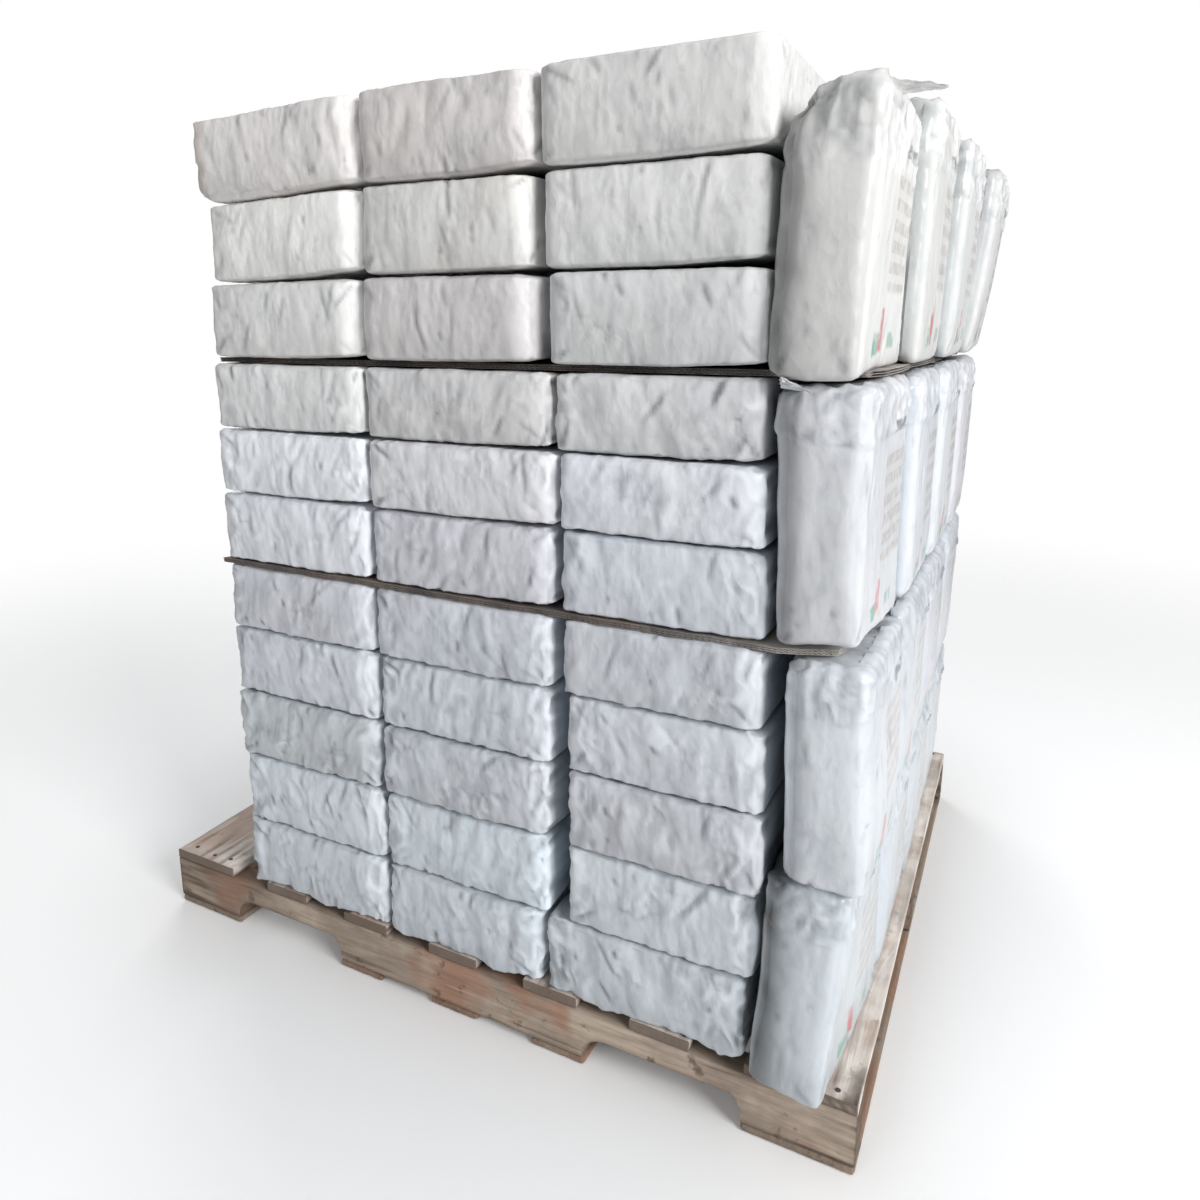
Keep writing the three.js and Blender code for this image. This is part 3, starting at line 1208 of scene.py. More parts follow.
@dataclass(frozen=True)
class FilmCastAndPaintedLight:
    """How the cast of a bale's film changes over the bale. Most of it is painted light: painted shade at its
    left end, low on its open faces and deep in its gaps and seams, and painted highlights on its right end,
    its right side, its sharp ridges and the rim where it turns into a gap; its foot is also a little darker.

    Attributes:
        left: how much darker its left end is, a painted shade.
        left_reach: the share of its length that this takes in.
        foot: how much darker its foot is.
        right: how much brighter the smooth band at its right end is, a painted highlight.
        gap: how dark the film is deep in a gap or a seam, a painted shade.
        gap_sides: the sides that face a gap or a seam.
        rim: how much brighter the film is where it turns into the gap on its left, a painted highlight.
        left_cast: what the film at its left end is multiplied by.
        right_from: the share of its length where the band at its right end begins.
        side: how much brighter its right side is, a painted light.
        ridge: how much brighter the film is on its sharp ridges, a painted highlight.
        gap_cast: what is left of the light deep in a gap, in quarters.
    """

    left: float
    left_reach: float
    foot: float
    right: float
    gap: float
    gap_sides: tuple[Side, ...]
    rim: float = 0.0
    left_cast: Triple = (1.0, 1.0, 1.0)
    right_from: float = 0.87
    side: float = 0.0
    ridge: float = 0.16
    gap_cast: Triple = (0.2, 0.9, 1.3)

    def values(self, mesh: BaleMesh, seed: int, tint_and_painted_light: Triple) -> dict[str, Array]:
        """What the film's material reads at each point of a bale.

        Args:
            mesh: the built bale.
            seed: the bale's own number.
            tint_and_painted_light: the cast of its layer or tier, with the painted shade that this holds.

        Returns:
            The values by name.
        """
        dice = np.random.default_rng(seed + 5000)
        own = np.array(tint_and_painted_light) * dice.uniform(0.965, 1.02) * (1 + dice.normal(0, 0.006, 3))
        along, up = mesh.part[:, 0], mesh.part[:, 2]
        # Painted light: shade at the left end, a darker foot, and highlights on the right end, the right
        # side, the ridges and the left rim.
        cloud = 1 + 0.3 * Ripple(seed + 3000).at(mesh.points / 0.035)
        at_left = 1 - ease(0.0, self.left_reach, along)
        light = 1 - self.left * cloud * at_left
        light -= self.foot * (1 - ease(0, 0.35, up))
        light += self.right * ease(self.right_from, self.right_from + 0.06, along)
        light += self.side * ease(0.80, 0.98, mesh.facing[:, 0])
        light += self.ridge * np.clip(-mesh.crease, 0, 1)
        light += self.rim * ease(0.50, 0.80, -mesh.facing[:, 0]) * (1 - ease(0.012, 0.030, mesh.inward))
        # Painted shade: a little darker low on the open faces.
        light = light * (0.9 + 0.1 * ease(0.0, 0.006, mesh.inward + 0.006 * up))
        # Painted shade deep in the gaps and seams, with a cool cast.
        deep = np.zeros(len(along))
        for axis, far in (side.value for side in self.gap_sides):
            deep = np.maximum(deep, ease(0.45, 0.95, mesh.facing[:, axis] * (1 if far else -1)))
        deep *= ease(0.003, 0.045, mesh.inward) * self.gap
        browned = at_left[:, None] * (1 - np.array(self.left_cast))
        cast = own[None, :] * light[:, None] * (1 - browned)
        cast = cast * (1 - deep[:, None] * (1 - 0.25 * np.array(self.gap_cast)[None, :]))
        shift = np.tile(dice.uniform(-5, 5, 3), (len(along), 1))
        return {"crease": mesh.crease, "tint_and_painted_light": cast, "shift": shift}


@dataclass(frozen=True)
class LayerLook:
    """What one lying layer has of its own.

    Attributes:
        gaps: the two gaps between its columns, as the ends of the bales beside them, in millimetres
            from the pallet's left end.
        short: how far the front bale's right end stays short of the layer's end, in millimetres.
        seam: how wide the seam above its bales is.
        tint_and_painted_light: the cast of its film, with painted shade that makes the low layers darker and
            bluer.
        rumpled: how much its film is crumpled, where 1 is the plain relief.
    """

    gaps: tuple[tuple[float, float], tuple[float, float]]
    short: float
    seam: float
    tint_and_painted_light: Triple
    rumpled: float


@dataclass
class LyingStack:
    """The lying bales: eleven layers, each of three bales along the pallet and four in depth.

    Attributes:
        finish: the film's finish.
        rows: how many bales it has in depth.
        fine, middling, coarse: the grid's spacing on what shows in front, elsewhere and not at all.
        sag: how far the bottom bales sink between the deck boards, in millimetres.
        gap_opening: how much wider the left gap is on its two sides.
        inner_reach: how far the unseen bales reach past the layer's right end.
        row_gap: the gap behind each bale.
        raised: how far the upper layers stand over their plain solids.
        layers: the layers, from the bottom.
        upper_casts, low_casts: what each column is multiplied by above and below.
        upper_from, top_from: the first layers over the low and over the high sheet, from 0.
    """

    finish: FilmFinish
    rows: int = 4
    fine: float = 3.7 * MM
    middling: float = 7.0 * MM
    coarse: float = 40 * MM
    sag: float = 9
    gap_opening: tuple[float, float] = (3 * MM, 2 * MM)
    inner_reach: float = 11 * MM
    row_gap: float = 1 * MM
    raised: float = 11 * MM
    layers: tuple[LayerLook, ...] = (
        LayerLook(((485, 491), (766, 779)), 7, 2.0 * MM, (0.765, 0.83, 0.875), 1.9),
        LayerLook(((488, 492), (777, 812)), 3, 3.0 * MM, (0.84, 0.915, 0.975), 1.8),
        LayerLook(((486, 493), (780, 815)), -3, 3.0 * MM, (0.76, 0.795, 0.84), 1.9),
        LayerLook(((486, 492), (783, 812)), -2, 2.4 * MM, (0.88, 0.92, 0.98), 1.7),
        LayerLook(((488, 493), (788, 808)), 2, 3.0 * MM, (0.85, 0.88, 0.935), 1.5),
        LayerLook(((486, 492), (791, 806)), 2, 4.0 * MM, (0.93, 0.965, 1.04), 1.45),
        LayerLook(((489, 493), (797, 804)), 4, 4.0 * MM, (1.10, 1.13, 1.20), 1.45),
        LayerLook(((488, 491), (790, 799)), 8, 4.0 * MM, (0.985, 0.985, 1.005), 1.3),
        LayerLook(((487, 490), (770, 790)), 8, 5.0 * MM, (0.99, 0.99, 1.0), 1.0),
        LayerLook(((492, 496), (764, 783)), 12, 5.0 * MM, (1.13, 1.125, 1.12), 0.9),
        LayerLook(((500, 504), (772, 782)), 5, 4.5 * MM, (1.04, 1.03, 1.01), 1.0),
    )
    upper_casts: tuple[Triple, ...] = ((1.16, 1.15, 1.13), (0.985, 0.965, 0.95), (1.0, 1.0, 1.0))
    low_casts: tuple[Triple, ...] = ((1.0, 1.0, 1.0), (1.005, 1.01, 1.015), (1.0, 1.0, 1.0))
    upper_from: int = 5
    top_from: int = 8

    def hidden_sides(self, column: int, row: int, top: bool) -> dict[Side, Rim]:
        """Finds the sides of a bale that nobody sees.

        Args:
            column, row: its place from the left and from the front.
            top: whether it lies in the top layer.

        Returns:
            Those sides, with the rims that show in the seams.
        """
        front, back = row == 0, row == self.rows - 1
        seam = Rim(3 * (column == 0), 0, 3 * front, 3 * back)
        hidden = {
            Side.BOTTOM: (seam, True),
            Side.TOP: (seam, not top),
            Side.FRONT: (Rim(), not front),
            Side.BACK: (Rim(), not back),
            Side.LEFT: (Rim(), column > 0 and not front and not back),
            Side.RIGHT: (Rim(), not front and not back),
        }
        return {side: rim for side, (rim, unseen) in hidden.items() if unseen}

    def sags(self, left: float, right: float) -> tuple[Pull, ...]:
        """Lets the foot of a bottom bale sink between the deck boards.

        Args:
            left, right: the bale's two ends.

        Returns:
            The stretches that sink.
        """
        made = []
        for board in range(1, 7):
            start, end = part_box(f"top_board_{board}")[1].x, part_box(f"top_board_{board + 1}")[0].x
            middle = ((start + end) / 2 - left) / (right - left)
            half = (end - start) / 2 / (right - left)
            made.append(Pull((middle, 0.0, 0.0), (0.66 * half, 0.35, 0.11), (0, 0, -self.sag)))
        return tuple(made)

    def bale(self, number: int, column: int, row: int) -> Bale:
        """One bale of the stack.

        Args:
            number: its layer, from 0 at the bottom.
            column: its place from the left.
            row: its place from the front.

        Returns:
            The bale, ready to build.
        """
        look = self.layers[number]
        top, upper = number == len(self.layers) - 1, number >= self.top_from
        front, back = row == 0, row == self.rows - 1
        low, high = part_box(f"bale_layer_{number + 1:02d}")
        (end1, start2), (end2, start3) = look.gaps
        starts = (low.x, from_corner(start2) + self.gap_opening[1], from_corner(start3))
        ends = [from_corner(end1) - self.gap_opening[0], from_corner(end2), high.x]
        ends[2] += -look.short * MM if front or back else self.inner_reach
        depth = (high.y - low.y) / self.rows
        dice = np.random.default_rng(1000 + number * 100 + column * 10 + row)
        seam = look.seam / 2
        below = self.layers[number - 1].seam / 2 if number else 0.5 * MM
        near = low.y + row * depth + dice.uniform(0, 1.5) * MM
        start = np.array([starts[column], near, low.z + below])
        far = low.y + (row + 1) * depth - self.row_gap
        end = np.array([ends[column], far, high.z - (0 if top else seam)])
        pulls = self.sags(start[0], end[0]) if number == 0 and front else ()
        if pulls and column == 2:
            pulls += (Pull((1.0, 1.0, 0.3), (0.2, 0.75, 2.0), (9, 0, 0)),)
        along = self.fine if front else self.middling if back or top else self.coarse
        inward = self.middling if column == 0 or top else self.coarse
        upward = self.fine if front else self.middling if back or column == 0 else self.coarse
        return Bale(
            low=start,
            high=end,
            seed=7 + number * 131 + column * 17 + row * 5,
            steps=(along, inward, upward),
            hidden=self.hidden_sides(column, row, top),
            rounding=Rounding(
                left=dice.uniform(6, 10) * MM + (5 * MM if upper and column > 0 else 0.0),
                right=dice.uniform(15, 22) * MM + (10 * MM if upper and column < 2 else 0.0),
                end_depth=14 * MM if upper and column < 2 and front else 0.0,
                front=dice.uniform(8, 11) * MM,
                back=dice.uniform(8, 11) * MM,
                rise=dice.uniform(4.5, 7) * MM,
                flare=dice.uniform(-0.25, 0.3),
                tucked=26 * MM if top and column == 0 and front else 0.0,
            ),
            crowns=(2 * MM, 4 * MM, (6 * MM if top else seam * 0.8)),
            lift=dice.uniform(0.3, 1.2) * look.seam,
            rumpled=look.rumpled,
            tufts=max(0.0, look.rumpled - 0.8) if front else 0.0,
            pulls=pulls,
        )

    def risen(self, points: Array) -> Array:
        """Raises the upper layers over their plain solids.

        Args:
            points: N by 3, in the frame.

        Returns:
            How much higher each point stands.
        """
        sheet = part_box("cardboard_sheet_high")[1].z
        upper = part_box("bale_layer_10")[1].z
        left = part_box("bale_layer_11")[0].x
        inward = 0.25 + 0.75 * ease(0.04, 0.27, points[:, 0] - left)
        return self.raised * ease(sheet, upper, points[:, 2]) * inward

    def dirt_and_painted_light(self, number: int, column: int) -> FilmCastAndPaintedLight:
        """The painted shade and painted highlights of a bale's film, with the brown cast of the top left
        bale's left end.

        Args:
            number, column: its layer and its column, from 0.

        Returns:
            Its cast and its painted light.
        """
        top = number == len(self.layers) - 1
        sides = [Side.BOTTOM]
        sides += [] if top else [Side.TOP]
        sides += [Side.LEFT] if column > 0 else []
        sides += [Side.RIGHT] if column < 2 or not top else []
        browned = (1.0, 0.93, 0.88) if top and column == 0 else (1.0, 1.0, 1.0)
        right = 0.15 if self.upper_from <= number < self.top_from else 0.24
        gap = 0.18 if number >= self.upper_from else 0.30
        return FilmCastAndPaintedLight(
            left=0.13,
            left_reach=0.12,
            foot=0.04,
            right=right,
            gap=gap,
            gap_sides=tuple(sides),
            left_cast=browned,
        )

    def build(self) -> None:
        """Makes one piece of each layer."""
        material = self.finish.paint()
        for number, look in enumerate(self.layers):
            parts = MeshParts()
            casts = self.upper_casts if number >= self.upper_from else self.low_casts
            for column in range(3):
                cast = tuple(np.multiply(look.tint_and_painted_light, casts[column]))
                for row in range(self.rows):
                    bale = self.bale(number, column, row)
                    mesh = bale.build()
                    mesh.points[:, 2] += self.risen(mesh.points)
                    # Each bale's cast, with its painted shade and painted highlights.
                    values = self.dirt_and_painted_light(number, column).values(mesh, bale.seed, cast)
                    parts.add(mesh.points, mesh.faces, **values)
            piece = parts.piece(f"lying_bales_{number + 1:02d}", material)
            settle(piece, "bale_film", f"bale_layer_{number + 1:02d}")


@dataclass(frozen=True)
class FilmTail:
    """A loose end of film: a thin wavy tongue that narrows to a ragged point.

    Attributes:
        root: the middle of its fixed edge, in millimetres from the pallet's front left corner.
        tip: where its point is, in the same way.
        across: half of its fixed edge, as a vector.
        wave: how far its face waves.
        seed: its own number.
        thick: how thick the film is here.
    """

    root: Triple
    tip: Triple
    across: Triple
    wave: float
    seed: int
    thick: float = 0.5 * MM

    def build(self) -> tuple[Array, Faces]:
        """Makes the tongue.

        Returns:
            Its points and faces.
        """
        ticks = (np.linspace(0, 1, 29), np.linspace(-1, 1, 17), np.array([0, self.thick]))
        flat, faces = BlockGrid(ticks).build()
        run, side, level = flat[:, 0], flat[:, 1], flat[:, 2]
        root, tip, across = in_frame(*self.root), in_frame(*self.tip), np.array(self.across)
        out = np.cross(tip - root, across)
        out /= np.linalg.norm(out)
        place = np.stack([run * 4.6, side * 2.3, np.zeros_like(run)], axis=1)
        ragged = 1 + 0.25 * Ripple(self.seed).at(place * np.array([1.2, 0.2, 1]))
        width = (1 - 0.95 * run**1.3) * np.where(run < 0.15, 1, ragged)
        wave = Ripple(self.seed + 1).at(place) + 0.4 * Ripple(self.seed + 2).at(place * 2.6)
        points = root + np.outer(run, tip - root) + np.outer(side * width, across)
        return points + np.outer(wave * self.wave * ease(0, 0.35, run) + level, out), faces


@dataclass(frozen=True)
class TierLook:
    """What one tier of standing bales has of its own.

    Attributes:
        leans: how far each bale's head stands out, from the front, in millimetres.
        tint_and_painted_light: the cast of its film, with painted shade that makes the bottom tier darker and
            bluer.
        left: how much darker its left end is, a painted shade, and the share of its width that this takes in.
        right: how much brighter its right end is, a painted highlight, and the share of its width where that
            begins.
        side: how much brighter its right side is, a painted light.
        rim: how much brighter the film is where it turns into the gap on its left, a painted highlight.
        gap: how dark the film is deep in a gap, a painted shade.
        pinch: how much sharper the front bale's corners are at its foot.
        crumple: how strongly the folded end of the film is crumpled.
    """

    leans: tuple[float, float, float, float]
    tint_and_painted_light: Triple
    left: tuple[float, float]
    right: tuple[float, float]
    side: float
    rim: float
    gap: float
    pinch: float
    crumple: float


@dataclass
class StandingColumn:
    """The bales that stand on end at the right: four tiers, each with four in depth.

    Attributes:
        finish: the film's finish.
        rows: how many bales it has in depth.
        fine, middling, coarse: the grid's spacing on what shows in front, elsewhere and not at all.
        tail_tint: how dark the loose ends of film are beside their bale.
        foot_darkening: how much darker each bale's foot is.
        relief: how the film lies.
        tiers: the tiers, from the bottom.
        tails, pulls: the loose ends of film, and the bulges and hollows, with the tier and the row
            of the bale that has each.
    """

    finish: FilmFinish
    rows: int = 4
    fine: float = 3.6 * MM
    middling: float = 5.0 * MM
    coarse: float = 30 * MM
    tail_tint: float = 0.86
    foot_darkening: float = 0.05
    relief: FilmRelief = FilmRelief(
        lump=(0.10, 0.0030),
        fold=(0.026, 0.15, 0.0017),
        pleat=(0.011, 0.07, 0.0004),
        crumple=(0.030, 0.075, 0.0021),
        finest=0.0044,
        creases=260,
        crease_depth=0.0020,
        pits=70,
        slant=0.10,
    )
    tiers: tuple[TierLook, ...] = (
        TierLook((2, 0, 2, 3), (0.80, 0.85, 0.90), (0.76, 0.60), (0.04, 0.87), 0.05, 0.42, 0.36, 0.5, 1.0),
        TierLook((-4, 0, 3, 6), (0.97, 1.01, 1.075), (0.22, 0.50), (0.04, 0.87), -0.11, 0.34, 0.36, 0.2, 0.4),
        TierLook((-3, 0, 3, 5), (1.01, 1.035, 1.085), (0.42, 0.60), (0.04, 0.87), 0.06, 0.22, 0.36, 0.3, 0.9),
        TierLook((6, 8, 14, 26), (0.96, 0.96, 0.948), (0.50, 0.60), (0.05, 0.79), 0.24, 0.0, 0.14, 0.35, 0.8),
    )
    tails: tuple[tuple[int, int, FilmTail], ...] = (
        (3, 0, FilmTail((1136, 74, 1298), (1230, 76, 1290), (0.0, 0.011, 0.014), 4.0 * MM, 35)),
        (2, 0, FilmTail((1105, -4, 978), (1089, -12, 992), (0.017, 0.0, -0.002), 2.5 * MM, 61)),
        (3, 1, FilmTail((1150, 330, 1318), (1166, 350, 1342), (0.042, 0.010, 0.0), 3.5 * MM, 43)),
        (3, 2, FilmTail((1160, 600, 1312), (1186, 606, 1332), (0.020, 0.030, 0.0), 3.5 * MM, 47)),
        (3, 3, FilmTail((1178, 850, 1302), (1190, 870, 1324), (0.040, 0.010, 0.0), 3.5 * MM, 51)),
    )
    pulls: tuple[tuple[int, int, tuple[Triple, Triple, Triple]], ...] = (
        (0, 0, ((1.0, 0.0, 0.0), (1.3, 0.4, 0.6), (0, -21, 0))),
        (0, 0, ((1.0, 0.0, 0.0), (0.6, 0.5, 0.6), (-21, 0, 0))),
        (0, 0, ((1.0, 0.0, 0.0), (0.7, 0.25, 0.10), (0, 0, -4))),
        (0, 0, ((0.0, 0.0, 0.0), (0.3, 0.6, 0.3), (-5, -3, 0))),
        (0, 0, ((1.0, 0.6, 1.0), (0.5, 1.0, 0.4), (-5, 0, 0))),
        (1, 0, ((0.0, 0.3, 0.3), (0.4, 1.0, 0.9), (9, 0, 0))),
        (1, 0, ((1.0, 0.2, 0.3), (0.5, 0.8, 0.3), (6, -3, 0))),
        (1, 0, ((1.0, 0.0, 0.5), (0.7, 0.9, 0.9), (-6, 0, 0))),
        (2, 0, ((0.0, 0.3, 0.1), (0.3, 1.0, 0.4), (4, 0, 0))),
        (2, 0, ((0.8, 0.0, 0.0), (0.7, 0.5, 0.14), (0, 0, 15))),
        (2, 0, ((0.5, 0.0, 1.0), (0.25, 0.5, 0.10), (0, 0, -4))),
        (2, 0, ((1.0, 0.0, 0.3), (0.7, 0.9, 0.9), (-13, 0, 0))),
        (3, 0, ((0.3, 0.4, 0.5), (1.4, 1.6, 2.0), (-7, 0, 0))),
        (3, 0, ((1.0, 1.0, 0.5), (0.9, 0.9, 1.6), (-3, 0, 0))),
        (3, 0, ((0.55, 0.0, 0.0), (0.9, 0.28, 0.09), (0, -5, -10))),
        (3, 0, ((0.7, 0.3, 1.0), (0.4, 0.5, 0.2), (0, 0, 9))),
        (3, 0, ((1.0, 0.0, 0.0), (0.7, 0.9, 0.6), (-11, 0, 0))),
        (3, 0, ((0.0, 0.0, 1.0), (0.35, 0.6, 0.12), (5, 0, -8))),
        (3, 1, ((1.0, 0.6, 0.6), (0.7, 0.9, 1.0), (3, 0, 0))),
        (3, 2, ((1.0, 0.6, 0.6), (0.7, 0.9, 0.9), (9, 0, 0))),
        (3, 3, ((1.0, 0.5, 0.7), (0.7, 0.9, 0.7), (16, 0, 0))),
    )

    def top_end(self, crumple: float) -> FoldedEnd:
        """The folded end of a top bale's film, which is gathered like a sack's mouth."""
        return FoldedEnd(reach=85 * MM, gathered=5 * MM, hem=0.0, crumple=crumple)

    def low_end(self, crumple: float) -> FoldedEnd:
        """The folded end of a lower bale's film, which is pressed flat."""
        return FoldedEnd(reach=60 * MM, gathered=2 * MM, hem=0.3, crumple=crumple)

    def bale(self, tier: int, row: int) -> Bale:
        """One bale of the column.

        Args:
            tier: its place from the bottom, from 0.
            row: its place from the front, from 0.

        Returns:
            The bale, ready to build.
        """
        look = self.tiers[tier]
        first, last, top = row == 0, row == self.rows - 1, tier == len(self.tiers) - 1
        low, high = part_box(f"standing_bale_{tier + 1}_{row + 1}")
        lean = look.leans[row] * MM
        low.x += max(0.0, -lean)
        high.x -= max(0.0, lean)
        end_rim = Rim(0, 3, 3 * first, 0)
        hidden = {
            Side.BOTTOM: (end_rim, True),
            Side.TOP: (end_rim, not top),
            Side.LEFT: (Rim(), not first),
            Side.FRONT: (Rim(0, 0, 0, 3), not first),
            Side.BACK: (Rim(0, 0, 0, 3), not last),
        }
        along = self.fine if first else self.middling if last or top else self.coarse
        return Bale(
            low=np.array(low),
            high=np.array(high),
            seed=9001 + tier * 57 + row * 13,
            steps=(along, self.middling, (4.4 if first else 5.0) * MM),
            hidden={side: rim for side, (rim, unseen) in hidden.items() if unseen},
            rounding=Rounding(
                left=46 * MM,
                right=(16 if top and first else 26 if top else 20) * MM,
                front=(24 if first else 42 if top else 44) * MM,
                back=(24 if last else 42 if top else 44) * MM,
                rise=(5 if tier == 0 else 10 if first else 17) * MM,
                head=(44 if top else 14) * MM,
                square=0.5 if top else 1.0,
                pinch=look.pinch if first else 0.0,
                joined=(not first, not last),
                joined_right=(6 if top else 12) * MM,
            ),
            crowns=((2 if first else 3 if top else 6) * MM, 6 * MM, (0 if top else 1) * MM),
            lean=lean,
            cap=self.top_end(look.crumple) if top else self.low_end(look.crumple),
            pulls=tuple(Pull(*shape) for *place, shape in self.pulls if place == [tier, row]),
            relief=self.relief,
        )

    def build(self) -> None:
        """Makes one piece of each bale."""
        material = self.finish.paint()
        gaps = (Side.LEFT, Side.FRONT, Side.BACK, Side.BOTTOM)
        for tier, look in enumerate(self.tiers):
            right, start = look.right
            own = dict(rim=look.rim, right_from=start, side=look.side)
            # The painted shade and painted highlights of this tier's film.
            dirt_and_painted_light = FilmCastAndPaintedLight(*look.left, self.foot_darkening, right, look.gap, gaps, **own)
            for row in range(self.rows):
                bale = self.bale(tier, row)
                mesh = bale.build()
                values = dirt_and_painted_light.values(mesh, bale.seed, look.tint_and_painted_light)
                values["part"] = mesh.part
                values["facing"] = ease(0.6, 0.9, mesh.facing[:, 0])
                parts = MeshParts()
                parts.add(mesh.points, mesh.faces, **values)
                for tail in [tail for *place, tail in self.tails if place == [tier, row]]:
                    loose, faces = tail.build()
                    plain = {name: np.repeat(held[:1], len(loose), axis=0) for name, held in values.items()}
                    plain["crease"] = plain["facing"] = np.zeros(len(loose))
                    plain["tint_and_painted_light"] = np.tile(np.array(look.tint_and_painted_light) * self.tail_tint, (len(loose), 1))
                    parts.add(loose, faces, **plain)
                piece = parts.piece(f"standing_bag_{tier + 1}_{row + 1}", material)
                settle(piece, "standing_film", f"standing_bale_{tier + 1}_{row + 1}")


@dataclass
class CardboardSheet:
    """A sheet of double-wall board between two layers, with torn edges.

    Attributes:
        name: its node.
        number: its own number, for the tear.
        set_back: how far its front edge lies behind the plain sheet's.
        material: the board's finish.
        liner: how thick its flat and its wavy layers are.
        flute: the length of a wave.
        flute_steps: the grid's steps in a wave.
        tear: how far the tear reaches in.
        draw_back: how much its front edge runs back towards the right, as a tangent.
        parts: the layers made so far.
        low, high: the plain sheet's corners, with the front edge set back.
    """

    name: str
    number: int
    set_back: float
    material: Material
    liner: float = 0.7 * MM
    flute: float = 7.5 * MM
    flute_steps: int = 4
    tear: float = 5 * MM
    draw_back: float = 0.35
    parts: MeshParts = field(default_factory=MeshParts)
    low: Vector = field(init=False)
    high: Vector = field(init=False)

    def __post_init__(self) -> None:
        """Looks up the plain sheet's corners, with the front edge set back."""
        self.low, self.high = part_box(self.name)
        self.low.y += self.set_back

    def tear_off(self, points: Array) -> Array:
        """Pulls the points at the sheet's edges in and out by the tear.

        Args:
            points: N by 3, in the frame.

        Returns:
            The moved points.
        """
        torn = Ripple(self.number + round((self.high.x - self.low.x) * 10))
        ragged = torn.at(points / 0.03) * 0.6 + torn.at(points / 0.011) * 0.4
        wave = torn.at(points[:, [0, 1, 1]] / 0.09)
        moved = points.copy()
        from_right, from_front = points[:, 0] - self.high.x, points[:, 1] - self.low.y
        corner = np.hypot(np.maximum(0, from_right + 0.12), np.maximum(0, 0.10 - from_front))
        moved[:, 0] -= 0.35 * np.maximum(0, corner - 0.075) * (1 + 0.25 * wave)
        in_front = 1 - ease(0.0, 0.12, from_front)
        moved[:, 1] += self.draw_back * np.maximum(0, moved[:, 0] - self.high.x + 0.10) * in_front
        for axis in (0, 1):
            from_low, from_high = points[:, axis] - self.low[axis], self.high[axis] - points[:, axis]
            weight = np.clip(1 - np.minimum(from_low, from_high) / (2 * self.tear), 0, 1)
            inward = np.where(from_low < from_high, 1, -1)
            moved[:, axis] += inward * weight * (self.tear * 0.5 * (1 + ragged + wave))
        return moved

    def layer(self, ticks: tuple[Array, Array], rim: Rim, level: float, wear_and_shade: float, wave: Array) -> None:
        """Adds one thin layer of the board.

        Args:
            ticks: the places of its grid's lines along x and y.
            rim: the rows of cells that its top and its bottom keep.
            level: how far it lies above the sheet's underside.
            wear_and_shade: how worn it looks, from 0 to 1.
            wave: how far it rises at each line along x.
        """
        hidden = {Side.TOP: rim, Side.BOTTOM: rim}
        flat, faces = BlockGrid((*ticks, np.array([0, self.liner])), hidden).build()
        points = flat + np.array([self.low.x, self.low.y, self.low.z + level])
        # Painted light with fading towards the sheet's right end.
        fade_and_light = ease(-0.30, -0.18, points[:, 0] - self.high.x)
        points = self.tear_off(points)
        points[:, 2] += np.interp(flat[:, 0], ticks[0], wave)
        self.parts.add(points, faces, wear_and_shade=np.full(len(points), wear_and_shade), fade_and_light=fade_and_light)

    def build(self) -> None:
        """Makes the sheet's piece: three flat liners with a wavy layer between each two."""
        length, depth, thick = (end - start for start, end in zip(self.low, self.high))
        room = (thick - 3 * self.liner) / 2
        across = np.linspace(0, length, round(length / (8 * MM)))
        inward = np.linspace(0, depth, round(depth / (10 * MM)))
        for i in range(3):
            level = i * (self.liner + room)
            self.layer((across, inward), Rim(2, 2, 2, 2), level, 0.2, np.zeros(len(across)))
        count = round(length / self.flute)
        across = np.linspace(0, length, count * self.flute_steps + 1)
        wave = (room - self.liner) / 2 * np.cos(across / length * count * 2 * math.pi)
        wavy_ticks = (across, np.array([0, 9 * MM, depth - 9 * MM, depth]))
        for i in range(2):
            level = self.liner + i * (self.liner + room) + room / 2 - self.liner / 2
            self.layer(wavy_ticks, Rim(0, 0, 1, 1), level, 0.8, wave)
        settle(self.parts.piece(f"{self.name}_torn", self.material, smooth=False), "cardboard", self.name)


